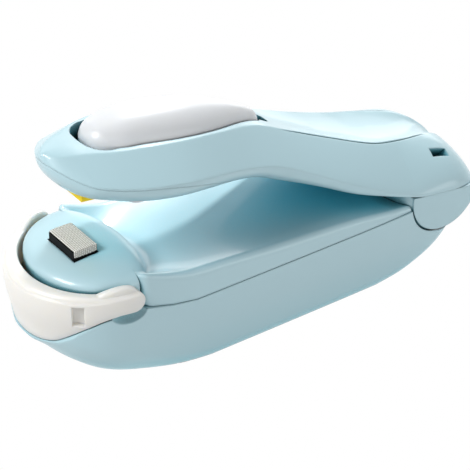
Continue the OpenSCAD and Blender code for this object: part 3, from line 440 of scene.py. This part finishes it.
# Base: the upper shell is a nose dome that runs into a saddle. Keys give the height along the
# saddle's rim and middle, and how far the walls lean in.
RIM = [[NX + 0.7, SHOULDER + 0.4], [NX + 2, SHOULDER + 0.8], [NX + 6.7, SHOULDER - 1.1],
       [NX + 13, 25.3], [NX + 22.5, 24.4], [-1, 23], [HX - 26, 21.7], [HX - 12.7, 19.9], [HX, 19]]
MID = [[NX, SADDLE + 0.4], [NX + 9.5, SADDLE], [-10, 22.6], [0, 22.5], [HX - 29, 21.6],
       [HX - 13, 19.7], [HX, 19]]
LEAN = [[NX + 0.7, 1.4], [NX + 3, 1.7], [NX + 10, 1.5], [0, 0.9], [HX - 13, 0.5]]
NOSE_X = NX - NOSE_L + np.array([0.05, 0.25, 0.6, 1.3, 2.3, 3.8, 6, 8.6, 11.6, 14.6, 15.18])
BACK_X = [NX + 0.7, NX + 1, NX + 1.5, NX + 2.2, NX + 3.2, NX + 4.4, NX + 5.6, NX + 6.8, NX + 8,
          NX + 9.5, NX + 12, NX + 16, NX + 22, -8, 0, 8, HX - 28, HX - 21, HX - 15, HX - 10]
NOSE_END, BROW_X, BROW_R = NX + 0.6, NX + 0.7, 2.2  # rounded front of the shoulders
DOME_POWER, SADDLE_POWER = 2.6, 2.8
SKIRT, SKIRT_SIDE = 6, 54  # fall outside the dome's foot, and what is added at its sides
ROLL = 0.8  # least rounding of the saddle's rim
NOSE_FOOT, ABOVE = 12, 60  # heights under the nose and over the base, where the loft is cut
FILLET = 1.2  # where the dome meets the saddle
HEATER_HOLE = (6.0, 10.6, 12), (HEAT_X, 0, 30)


def dome_at(x, y):
    a = NOSE_L if x < NX else BACK
    across = y / (NOSE_W / 2)
    q = np.sqrt(((x - NX) / a) ** 2 + across ** 2)
    foot = DOME - ROOF
    fall = SKIRT + SKIRT_SIDE * np.abs(across) ** 4
    rise = np.clip(1 - np.clip(q, 0, 1) ** DOME_POWER, 0, 1) ** (1 / DOME_POWER)
    return np.where(q < 1, foot + ROOF * rise, foot - (q - 1) * fall)


def saddle_at(x, y, w):
    m, r, s = curve(MID, x), curve(RIM, x), ROLL + curve(LEAN, x) * ROLL
    over = np.maximum(0, np.abs(y) - (w - s)) / s
    return (m + (r - m) * (np.abs(y) / w) ** SADDLE_POWER
            - s * (1 - np.sqrt(np.maximum(0, 1 - over * over))))


def brow(x):
    """How far the shoulder's front is rounded in from the side."""
    d = max(0, BROW_R - (x - BROW_X))
    return BROW_R - math.sqrt(max(0, BROW_R * BROW_R - d * d))


def top_ring(x):
    """Section of the upper base at x."""
    nose = x < NOSE_END
    w = bow_w(x, NOSE_L, NOSE_W / 2) if nose else hull_w(x) - value(LEAN, x) - brow(x)
    b = w if nose else hull_w(x) - brow(x)
    z0 = NOSE_FOOT if nose else SEAM - 1
    t = np.sin(np.linspace(-1, 1, 141) * math.pi / 2)
    y = spow(t, 0.9) * w
    z = dome_at(x, y)
    if not nose:
        sd = saddle_at(x, y, w)
        z = np.maximum(z, sd) + np.maximum(0, FILLET - np.abs(z - sd)) ** 2 / (4 * FILLET)
    left = [(-b + (b - w) * k, z0 + (z[0] - z0) * k) for k in np.linspace(0, 1, 10)[:-1]]
    right = [(-yy, zz) for yy, zz in reversed(left)]
    low = [(b * k * 0.95, z0 - 0.5) for k in np.linspace(1, -1, 30)]
    return [(x, yy, zz) for yy, zz in left + list(zip(y, z)) + right + low]


upper_x = np.concatenate([fine(NOSE_X, 6), fine(BACK_X, 6)])
upper = loft("base_upper", [top_ring(x) for x in upper_x])
carve(upper, prism(seam_line(PART_GAP) + [(XR + PAST, ABOVE), (FRONT_CUT, ABOVE)]), "INTERSECT")
carve(upper, barrel("tool", SEAT_GAP, SEAT_Y))
carve(upper, block(*HEATER_HOLE))
dress(upper, "blue_plastic", "base", nodes=["upper_shell"])

# Guard: a U-shaped strap with a folded rim in front, and a hub with a lip at each end
IN_L, IN_Y = NOSE_L + 1.3, NOSE_W / 2 + 0.4  # inside of the strap
LEVELS = np.array([[12, 1.9, 0], [14.5, 1.5, 0], [18, 0.7, 0], [21, 0.1, 0], [23.4, 0, 0],
                   [GUARD_Z - 1.2, 0.15, 0], [GUARD_Z - 0.6, 0.5, 0], [GUARD_Z - 0.2, 1.1, 0.1],
                   [GUARD_Z, 1.8, 0.4]])  # height, how far the outside and the inside draw in
FOLD_Z = 23.4
FOLD = [[FOLD_Z, 0], [24.8, 0.03], [25, 0.1], [25.15, 0.42], [25.3, 0.55], [25.5, 0.6],
        [25.8, 0.8], [26, 1.05], [26.15, 1.35], [GUARD_Z, 1.9]]
FOLD_BACK, FOLD_RUN = 11, 4  # the fold runs out this far before the round's end, over this length
# recess in each side: size, middle, turn
RECESS, RECESS_AT, RECESS_DEG = (2.8, 2.6, 4.8), (NX - 13, 13.86, PZ - 2), -49
LIP = [[-9, 1.2], [-8, 1.7], [-7, 2.3], [-5.6, 3.1], [-4, 3.7], [-2.4, 3.95], [-1, 3.8], [0, 3.4],
       [0.8, 2.7], [1.2, 1.8]]  # height above the hub's middle
LIP_X = np.linspace(-9, 1.2, 70)
LIP_FOOT, LIP_R, LIP_IN = 0.4, 0.7, 0.75  # its foot, its rounding, its distance from the outside


def strap(a, b):
    """Plan of the strap's wall, from the near end round to the far end."""
    f = np.radians(np.linspace(-90, 90, 121))
    bow = [(NX - a * c, b * s) for c, s in zip(np.cos(f), np.sin(f))]
    return [(NX + 3, -b)] + bow + [(NX + 3, b)]


def outer(inset):
    return np.array(strap(GUARD_L - inset, GUARD_Y - min(inset, 1) * 0.7))


def strap_ring(z):
    """Plan of the guard at a height. The fold fades out along the arms."""
    out_in, in_in = value(LEVELS[:, [0, 1]], z), value(LEVELS[:, [0, 2]], z)
    plain, fold = outer(out_in), outer(value(FOLD, z) if z > FOLD_Z else out_in)
    arm = np.clip((plain[:, :1] - NX + FOLD_BACK) / FOLD_RUN, 0, 1)
    outside = plain * arm + fold * (1 - arm)
    inside = strap(IN_L + in_in, IN_Y + in_in * 0.5)
    return [(x, y, z) for x, y in list(outside) + inside[::-1]]


def lip_ring(x, h, s):
    """Section of a hub's lip, on the side s."""
    y0, y1 = bow_w(PX + x, IN_L, IN_Y) + 0.05, bow_w(PX + x, GUARD_L, GUARD_Y) - LIP_IN
    r = min(LIP_R, (y1 - y0) / 2 - 0.05)
    arc = np.linspace(0, math.pi / 2, 8)
    top = [(y0 + r - r * math.cos(a), h - r + r * math.sin(a)) for a in arc]
    top += [(y1 - r + r * math.sin(a), h - r + r * math.cos(a)) for a in arc]
    return [(PX + x, s * y, PZ + z) for y, z in [(y0, LIP_FOOT)] + top + [(y1, LIP_FOOT)]]


guard_z = fine(np.union1d(LEVELS[:, 0], [k[0] for k in FOLD]), 3)
guard = loft("guard_strap", [strap_ring(z) for z in guard_z])
form = prism(chin(0) + [(PX, PZ - ARM_R), (PX, PZ + ARM_R + 2), (FRONT_CUT, 40)])
carve(form, turned("tool", [(ARM_R, -30), (ARM_R, 30)], (PX, PZ), 96), "UNION")
carve(guard, form, "INTERSECT")
for s in (-1, 1):
    turn = Matrix.Rotation(math.radians(RECESS_DEG * s), 3, "Z")
    carve(guard, block(RECESS, (RECESS_AT[0], s * RECESS_AT[1], RECESS_AT[2]), turn))
for s in (-1, 1):
    lip = [lip_ring(x, h, s) for x, h in zip(LIP_X, curve(LIP, LIP_X))]
    carve(guard, loft("tool", lip), "UNION")
dress(guard, "guard_plastic", "guard", ["safety_guard"])

# Lever: one loft, split along the parting line into its top and its underside. Keys give the top
# line, the half widths at the waist and at the crease of the top, the heights of the waist and
# the belly, and the parting line.
TOP = [[LEVER_X0, LZ - 0.8], [XF + 8.27, LZ - 0.4], [XF + 9.74, LZ - 0.1], [XF + 13, LZ + 0.1],
       [XF + 16, LZ], [XF + 21, LZ - 0.3], [XF + 28, LZ - 0.9], [XF + 37, LZ - 2.3],
       [XF + 47, LZ - 4.5], [0, LZ - 7.4], [8, LZ - 11.1], [18, 37.8], [HX - 14.3, 33],
       [HX - 6.7, 31], [HX + 2, 28.7], [HX + 7, 26.4], [HX + 10, 23.9], [HX + 11.8, 21.5],
       [XR, HZ - 1.8]]
WIDE = [[LEVER_X0, 0.8], [XF + 7.95, 2], [XF + 8.6, 3.8], [XF + 9.9, 6.2], [XF + 11.8, 8.9],
        [XF + 14, LOBE - 5], [XF + 18, LOBE - 3], [XF + 23, LOBE - 1.2], [XF + 28, LOBE - 0.3],
        [XF + 34, LOBE], [XF + 40, LOBE - 0.8], [XF + 47, WAIST + 1.1], [0, WAIST],
        [8, WAIST + 0.8], [18, TAIL - 2], [HX - 14, TAIL - 0.4], [HX - 6, TAIL], [HX + 2, TAIL],
        [HX + 6, TAIL - 0.5], [HX + 9, TAIL - 1.7], [HX + 11, TAIL - 4], [XR - 0.8, TAIL - 7.5],
        [XR - 0.2, TAIL - 11.5], [XR, 2]]
CREASE = [[LEVER_X0, 0.4], [XF + 7.95, 1], [XF + 8.6, 1.9], [XF + 9.9, 3], [XF + 12.7, 4.5],
          [XF + 15.3, 5.4], [XF + 17.4, 6.3], [XF + 19.3, 7.1], [XF + 22.5, 8], [XF + 25, 8.4],
          [XF + 29, 8.9], [XF + 37, 9], [XF + 47, 7.4], [0, 5.2], [8, 5.3], [18, 6.4],
          [HX - 14, 8], [HX - 6, 7.6], [HX + 2, 6], [HX + 7, 4.4], [HX + 10, 3.2], [HX + 12, 2],
          [XR, 1]]
WAISTLINE = [[LEVER_X0, 52.2], [XF + 8.93, 51.2], [XF + 10.96, 50], [XF + 13, 49.2],
             [XF + 17, 48.4], [XF + 22, 47.6], [XF + 28, 46.8], [XF + 37, 45.2], [XF + 47, 42.8],
             [0, 39.6], [8, 35.6], [18, 30.2], [HX - 14, 24.4], [HX - 6, 21.6], [HX + 2, 20],
             [HX + 8, 18.6], [XR, HZ - 2.4]]
BELLY = [[LEVER_X0, 51.4], [XF + 8.11, 49.5], [XF + 9.17, 47.5], [XF + 10.96, 45.5],
         [XF + 13, 44.1], [XF + 17, 42.7], [XF + 21, 41.4], [XF + 28, 39.8], [XF + 37, 38.7],
         [XF + 47, 37.2], [-3, 35.4], [2, 33.2], [8, 30.9], [13, 28.9], [HX - 23, 25.4],
         [HX - 13, 22.3], [HX - 8, 20.5], [HX, 17.5], [HX + 8, 15.5], [XR, HZ - 3.4]]
SPLIT = [[XF + 7.29, 51.9], [XF + 8.93, 51], [XF + 10.55, 50], [XF + 13, 48.9], [XF + 17, 47.9],
         [XF + 21, 47.3], [XF + 28, 46.2], [XF + 34, 44.7], [XF + 41, 42.2], [XF + 47, 39.3],
         [0, 35.2], [8, 31.9], [18, 27.4], [HX - 14, 23.3], [HX - 8, HZ + 1.2]]
SPLIT_X = np.linspace(XF + 7.3, HX - 8, 90)
LEVER_X = [LEVER_X0, XF + 7.87, XF + 8.27, XF + 8.93, XF + 10.07, XF + 11.53, XF + 13.2,
           XF + 15.6, XF + 18.2, XF + 21.5, XF + 25.5, XF + 30, XF + 35, XF + 40, XF + 45,
           XF + 49.5, -3.5, 0, 3.5, 7, 11, 15, HX - 24, HX - 19, HX - 14, HX - 10, HX - 6, HX - 2,
           HX + 2, HX + 5, HX + 7.5, HX + 9.5, HX + 11, HX + 12, XR - 0.3, XR]
SIDE_N = 23
REAR_X, REAR_RUN = -5, 25  # sections change from the front's form to the rear's,
END_BACK, END_RUN = 8, 12  # and again at the rear end
LOW_POWER, LOW_REAR = 2.4, 2  # powers of the curves below the waist
SIDE_POWER, SIDE_REAR, SIDE_END = 1.02, 0.1, 0.5  # and above it
TOP_CROWN, TOP_DISH = 0.6, 1.8  # the top is crowned in front and dished at the rear
# fine line under the rear of the crease: distance below the crease, depth
RILL = np.array([[0.75, 0], [0.5, 0], [0.46, 0.25], [0.26, 0.25], [0.22, 0], [0, 0]])
RILL_MID = -4  # the point of the side from which the line's direction is taken
RILL_IN, RILL_OUT = (6, 6), (HX + 3, 4)  # where the line begins and ends, and over what length
RILL_SIDE = 3  # least length of a side with room for the line
PAD = [[0, 0.17], [0.007, 0.32], [0.023, 0.49], [0.058, 0.68], [0.131, 0.86], [0.21, 0.92],
       [0.294, 0.97], [0.379, 1], [0.456, 0.99], [0.542, 0.94], [0.643, 0.83], [0.776, 0.61],
       [0.91, 0.36], [0.963, 0.28], [0.991, 0.2], [1, 0.12]]  # plan of the thumb pad
PAD_X = XF + 17.8
PAD_T = fine([k[0] for k in PAD], 8)
POCKET_FRONT = [[-1.8, 0.02], [-1.75, 0.08], [-1.65, 0.2], [-1.4, 0.35], [-0.7, 0.52], [0.6, 0.69],
                [2.7, 0.81], [5.6, 0.87]]
POCKET_REAR = [(1.8, 1.7), (2.4, 1.4), (2.6, 1.0)]
# depth of the pocket's front, what is added behind it, and where and how fast it deepens
POCKET_SHALLOW, POCKET_MORE, POCKET_STEP, POCKET_RAMP = 1.2, 3.7, 0.9, 0.4
# lanyard slot: size, mouth, turns about Y and X, depth of its middle
LANYARD, LANYARD_AT, LANYARD_DEG = (5.2, 2.2, 10.4), (HX + 2.6, 11.6, HZ + 6.2), (17, -32)
LANYARD_SINK = 3
# seat of the press pad: size, height of its middle over the cover
PRESS_HOLE, PRESS_UP = (5.2, 9.8, 5.4), 0.2 + 2.3
LEVER_SCREW, LEVER_SCREW_Z = (XF + 23.4, 10.4), 44.63
EAR_TOP = [(HX - 14, HZ + 2.9), (HX - 9, HZ + 1.36), (HX - 8, HZ + 1.16), (HX, HZ + 0.06),
           (XR + 3, HZ - 2.16), (XR + 3, 0), (HX - 14, 0)]
EAR_INSIDE = [(HX - 20, HZ + 20), (HX + 1, HZ + 20), (HX + 1, HZ - 1), (HX + 20, HZ - 27),
              (HX - 20, HZ - 27)]
EAR_INSIDE_W, EAR_OUT = 21, 17.8


def lever_ring(x):
    """Section of the lever at x: near side, top, far side and underside."""
    zt, wt, wm, zm, zb = (value(k, x) for k in (TOP, CREASE, WIDE, WAISTLINE, BELLY))
    rear, end = unit((x - REAR_X) / REAR_RUN), unit((x - HX + END_BACK) / END_RUN)
    e = 2 / (LOW_POWER + LOW_REAR * rear)
    f = 2 / (SIDE_POWER + SIDE_REAR * rear + SIDE_END * end)
    a = np.linspace(0, math.pi / 2, 200)
    arc = np.array([wt + (wm - wt) * spow(np.cos(a), f), zm + (zt - zm) * spow(np.sin(a), f)])
    # points evenly along the side, then those of the fine line
    way = np.append(0, np.cumsum(np.hypot(*np.diff(arc, axis=1))))
    room = min(1, way[-1] / RILL_SIDE)
    deep = room * min(unit((x - RILL_IN[0]) / RILL_IN[1]), unit((RILL_OUT[0] - x) / RILL_OUT[1]))
    start = way[-1] - RILL[0, 0] * room
    at = np.append(np.linspace(0, start, SIDE_N + 1)[:-1], way[-1] - RILL[:, 0] * room)
    y, z = np.interp(at, way, arc[0]), np.interp(at, way, arc[1])
    dy, dz = wt - y[RILL_MID], zt - z[RILL_MID]
    run = np.array([dy, dz]) / max(1e-6, math.hypot(dy, dz))
    sink = np.append(np.zeros(SIDE_N), RILL[:, 1] * deep)
    side = list(zip(y - sink * run[1], z + sink * run[0]))
    t = np.linspace(-1, 1, 34)[1:-1]
    top = list(zip(wt * t, zt + (TOP_CROWN - TOP_DISH * rear) * (1 - t * t)))
    b = np.linspace(0, math.pi, 74)[1:-1]
    low = list(zip(wm * spow(np.cos(b), e), zm - (zm - zb) * spow(np.sin(b), e)))
    return [(x, y, z) for y, z in [(-y, z) for y, z in side] + top + side[::-1] + low]


def split(shift):
    """The lever's parting line."""
    line = list(zip(SPLIT_X, curve(SPLIT, SPLIT_X))) + [(HX, HZ + 0.1), (XR + 3, HZ - 2.1)]
    return [(x, z + shift) for x, z in line]


def pocket():
    """Tool: the thumb pad's pocket, which is shallow at its front."""
    fx = fine([k[0] for k in POCKET_FRONT[:-1]], 6)
    back_t = PAD_T[PAD_T > 0.1]
    rim = (list(zip(PAD_X + fx, (BUTTON_W + GAP) * curve(POCKET_FRONT, fx)))
           + list(zip(PAD_X + BUTTON_L * back_t, BUTTON_W * curve(PAD, back_t) + GAP))
           + [(PAD_X + BUTTON_L + x, y) for x, y in POCKET_REAR])
    rim = rim + [(x, -y) for x, y in reversed(rim)]
    n = len(rim)
    low = []
    for x, y in rim:
        step = unit((x - PAD_X + POCKET_STEP) / POCKET_RAMP)
        low.append((x, y, value(TOP, x) - POCKET_SHALLOW - POCKET_MORE * step))
    walls = [(i, (i + 1) % n, n + (i + 1) % n, n + i) for i in range(n)]
    base = [(i, i + 1, n - 2 - i, n - 1 - i) for i in range(n // 2 - 1)]
    lid = [tuple(n + i for i in f) for f in base]
    return mesh_object("tool", low + [(x, y, 80) for x, y in rim], walls + base + lid)


lever_rings = [lever_ring(x) for x in fine(LEVER_X, 6)]
shell = loft("lever_shell_skin", lever_rings)
carve(shell, prism(split(SPLIT_GAP) + [(XR + 3, 90), (XF + 6, 90)]), "INTERSECT")
carve(shell, pocket())
for s in (-1, 1):
    turn = (Matrix.Rotation(math.radians(LANYARD_DEG[0]), 3, "Y")
            @ Matrix.Rotation(math.radians(LANYARD_DEG[1] * s), 3, "X"))
    mouth = Vector((LANYARD_AT[0], s * LANYARD_AT[1], LANYARD_AT[2]))
    carve(shell, block(LANYARD, mouth - turn @ Vector((0, 0, LANYARD_SINK)), turn))
dress(shell, "blue_plastic", "lever", nodes=["lever_shell"])

belly = loft("lever_belly_skin", lever_rings)
low_edge = [p for p in split(-SPLIT_GAP) if p[0] < HX - 9.5]
carve(belly, prism(low_edge + [(HX - 9, HZ + 1.4), (HX - 9, 0), (XF + 6, 0)]), "INTERSECT")
turn = Matrix.Rotation(math.radians(OPEN_DEG), 3, "Y")
hinge = Vector((HX, 0, HZ))
press_mid = hinge + turn @ (Vector((HEAT_X, 0, CLOTH_Z + PRESS_UP)) - hinge)
carve(belly, block(PRESS_HOLE, press_mid, turn))
for s in (-1, 1):
    carve(belly, pillar((LEVER_SCREW[0], s * LEVER_SCREW[1]), HEAD_R, 0, LEVER_SCREW_Z))
dress(belly, "blue_plastic", "lever", nodes=["lever_frame"])

# the hinge ears belong to the lever's underside
ears = barrel("lever_ears", 0, EAR_OUT)
carve(ears, prism(EAR_TOP), "INTERSECT")
carve(ears, prism(EAR_INSIDE, EAR_INSIDE_W))
dress(ears, "blue_plastic", "lever")

# Thumb button
PAD_FOOT, PAD_RIM = 4, 0.7  # below the lever's top line: underside, edge
PAD_LOW, PAD_RISE = 1.6, CROWN - 1.3  # height of the crown at the ends, and its rise between
PAD_NOSE, PAD_TAIL = 0.06, 0.03  # shares of the length over which the ends are rounded off
PAD_LEAST = 0.15  # share of the height that is left at the very ends
PAD_SKEW, PAD_ALONG, PAD_ACROSS, PAD_FULL = 0.75, 2.4, 2.6, 1 / 1.6  # powers of its curves


def pad_ring(t):
    """Section of the thumb pad at a share of its length."""
    x, w = PAD_X + BUTTON_L * t, BUTTON_W * value(PAD, t)
    z, u = value(TOP, x), t ** PAD_SKEW
    q = min(1, t / PAD_NOSE, (1 - t) / PAD_TAIL)
    c = ((PAD_LEAST + (1 - PAD_LEAST) * math.sqrt(1 - (1 - q) ** 2))
         * (PAD_LOW + PAD_RISE * (1 - abs(2 * u - 1) ** PAD_ALONG)))
    ys = np.sin(np.linspace(-1, 1, 81) * math.pi / 2)
    full = np.clip(1 - np.abs(ys) ** PAD_ACROSS, 0, 1) ** PAD_FULL
    zs = z - PAD_RIM + (c + PAD_RIM) * full
    return [(x, y * w, h) for y, h in zip(ys, zs)] + [(x, y * w, z - PAD_FOOT) for y in ys[::-1]]


button = loft("thumb_pad", [pad_ring(t) for t in PAD_T])
dress(button, "white_plastic", "button", nodes=["thumb_button"])

# Woven cover of the heater: a strip over the block with its ends turned down
STRIP_W, STRIP_L, STRIP_END, BEND, THREAD = 5.4, 10.2, 1.7, 0.45, 0.42
STRIP_T, WEAVE, SELVAGE = 0.28, 0.05, 0.16  # thickness, relief of the threads, fall at the edges
FLAT_L, TURN_L = STRIP_L / 2 - BEND, BEND * math.pi / 2
REACH = FLAT_L + TURN_L + STRIP_END - BEND


def strip_row(v, us):
    """Points of the strip's face and underside, at a length v from its middle."""
    d, g = abs(v), math.copysign(1, v)
    a = min(max(0, d - FLAT_L) / BEND, math.pi / 2)
    y = g * (min(d, FLAT_L) + BEND * math.sin(a))
    z = CLOTH_Z - BEND * (1 - math.cos(a)) - max(0, d - FLAT_L - TURN_L)
    ny, nz = g * math.sin(a), math.cos(a)
    face, under = [], []
    for u in us:
        weave = math.sin(math.pi * u / THREAD) * math.sin(math.pi * v / THREAD) - 1
        relief = WEAVE * weave - SELVAGE * abs(2 * u / STRIP_W) ** 6
        face.append((HEAT_X + u, y + ny * relief, z + nz * relief))
        under.append((HEAT_X + u, y - ny * STRIP_T, z - nz * STRIP_T))
    return face, under


def woven_strip(name):
    us, vs = np.linspace(-1, 1, 61) * STRIP_W / 2, np.linspace(-1, 1, 151) * REACH
    rows = [strip_row(v, us) for v in vs]
    points = [p for side in (0, 1) for row in rows for p in row[side]]
    nu, nv = len(us), len(vs)
    k = nu * nv
    grid = [(j * nu + i, j * nu + i + 1, (j + 1) * nu + i + 1, (j + 1) * nu + i)
            for j in range(nv - 1) for i in range(nu - 1)]
    loop = (list(range(nu)) + [j * nu + nu - 1 for j in range(1, nv)]
            + [(nv - 1) * nu + i for i in range(nu - 2, -1, -1)]
            + [j * nu for j in range(nv - 2, 0, -1)])
    hem = [(a, b, k + b, k + a) for a, b in zip(loop, loop[1:] + loop[:1])]
    return mesh_object(name, points, grid + [tuple(k + i for i in f) for f in grid] + hem)


cover = woven_strip("heater_cover")
dress(cover, "woven_cloth", "base", nodes=["heater_cloth"], angle=60)

# Finish of the pieces whose solids are shown as they are
slots = {s["node"]: s["material_slot"] for s in frame["record"]["subparts"]}
for node, ob in frame["nodes"].items():
    ob.data.materials.clear()
    ob.data.materials.append(MAT[slots[node]])

# Stage: a pale floor that shows white, and a white world
FLOOR, FLOOR_Z, FLOOR_GREY = 3000, -0.05, 0.6
WORLD_LIGHT, WORLD_GLOSS = 0.26, 0.6  # strength for the light on the part and for its reflections
WHITE = (1, 1, 1, 1)

corners = [(-FLOOR, -FLOOR), (FLOOR, -FLOOR), (FLOOR, FLOOR), (-FLOOR, FLOOR)]
floor = mesh_object("floor", [(x, y, FLOOR_Z) for x, y in corners], [(0, 1, 2, 3)])
mat, tree, bsdf = shader("floor")
wire(tree, bsdf, {"Base Color": (FLOOR_GREY, FLOOR_GREY, FLOOR_GREY, 1), "Roughness": 0.9,
                  "Specular IOR Level": 0.0})
rays = add(tree, "LightPath").outputs
seen = add(tree, "Math", {0: rays["Is Camera Ray"], 1: rays["Is Glossy Ray"]}, operation="MAXIMUM")
glow = add(tree, "Emission", {"Color": WHITE, "Strength": 1.0})
both = add(tree, "MixShader", {"Fac": seen.outputs["Value"], 1: bsdf.outputs["BSDF"],
                               2: glow.outputs["Emission"]})
wire(tree, tree.nodes["Material Output"], {"Surface": both.outputs["Shader"]})
floor.data.materials.append(mat)

world = bpy.data.worlds.new("studio")
bpy.context.scene.world = world
world.use_nodes = True
tree = world.node_tree
rays = add(tree, "LightPath").outputs
light = add(tree, "MapRange", {"To Min": WORLD_LIGHT, "To Max": WORLD_GLOSS,
                               "Value": rays["Is Glossy Ray"]})
most = add(tree, "Math", {0: light.outputs["Result"], 1: rays["Is Camera Ray"]},
           operation="MAXIMUM")
wire(tree, tree.nodes["Background"], {"Color": WHITE, "Strength": most.outputs["Value"]})

# name, place and aim in mm, size in m, power in W
LAMPS = [("key", (390, 330, 490), (0, 0, 25), (0.07, 0.07), 2.9),
         ("back", (250, 500, 360), (0, 0, 25), (0.8, 0.35), 0.6),
         ("rim", (520, 500, 100), (20, 0, 30), (0.5, 0.25), 0.7),
         ("front", (220, -745, 50), (0, 0, 25), (1.2, 0.4), 3.9),
         ("softbox", (-470, 60, 420), (-20, 0, 25), (0.25, 0.2), 2.9)]
for name, place, aim, size, power in LAMPS:
    lamp = bpy.data.lights.new(name, "AREA")
    lamp.shape = "RECTANGLE"
    lamp.size, lamp.size_y = size
    lamp.energy = power
    ob = bpy.data.objects.new(name, lamp)
    ob.visible_camera = False
    bpy.context.scene.collection.objects.link(ob)
    ob.location = Vector(place) * MM
    ob.rotation_euler = (Vector(aim) - Vector(place)).to_track_quat("-Z", "Y").to_euler()

# Camera at the photo's angle. The object isn't in the middle of the photo, so the camera is
# turned by some pixels instead of shifted.
TARGET, DISTANCE = Vector((-9, 0, 23.3)), 450
AZIMUTH, ELEVATION = math.radians(-35), math.radians(33)
IMAGE, FOCAL, SENSOR = 470, 2080, 36  # image and focal length in pixels, sensor in mm
TURN_RIGHT, TURN_DOWN = 28.5, 17.2

back = Vector((math.sin(AZIMUTH) * math.cos(ELEVATION),
               -math.cos(AZIMUTH) * math.cos(ELEVATION), math.sin(ELEVATION)))
right = Vector((math.cos(AZIMUTH), math.sin(AZIMUTH), 0))
up = back.cross(right)
look = -back + right * (TURN_RIGHT / FOCAL) - up * (TURN_DOWN / FOCAL)
axis_z = -look.normalized()
axis_x = up.cross(axis_z).normalized()
pose = Matrix((axis_x, axis_z.cross(axis_x), axis_z)).transposed().to_4x4()
pose.translation = (TARGET + back * DISTANCE) * MM
lens = bpy.data.cameras.new("camera")
lens.sensor_width = SENSOR
lens.lens = FOCAL / IMAGE * SENSOR
camera = bpy.data.objects.new("camera", lens)
bpy.context.scene.collection.objects.link(camera)
camera.matrix_world = pose
bpy.context.scene.camera = camera
bpy.context.scene.view_settings.view_transform = "Standard"
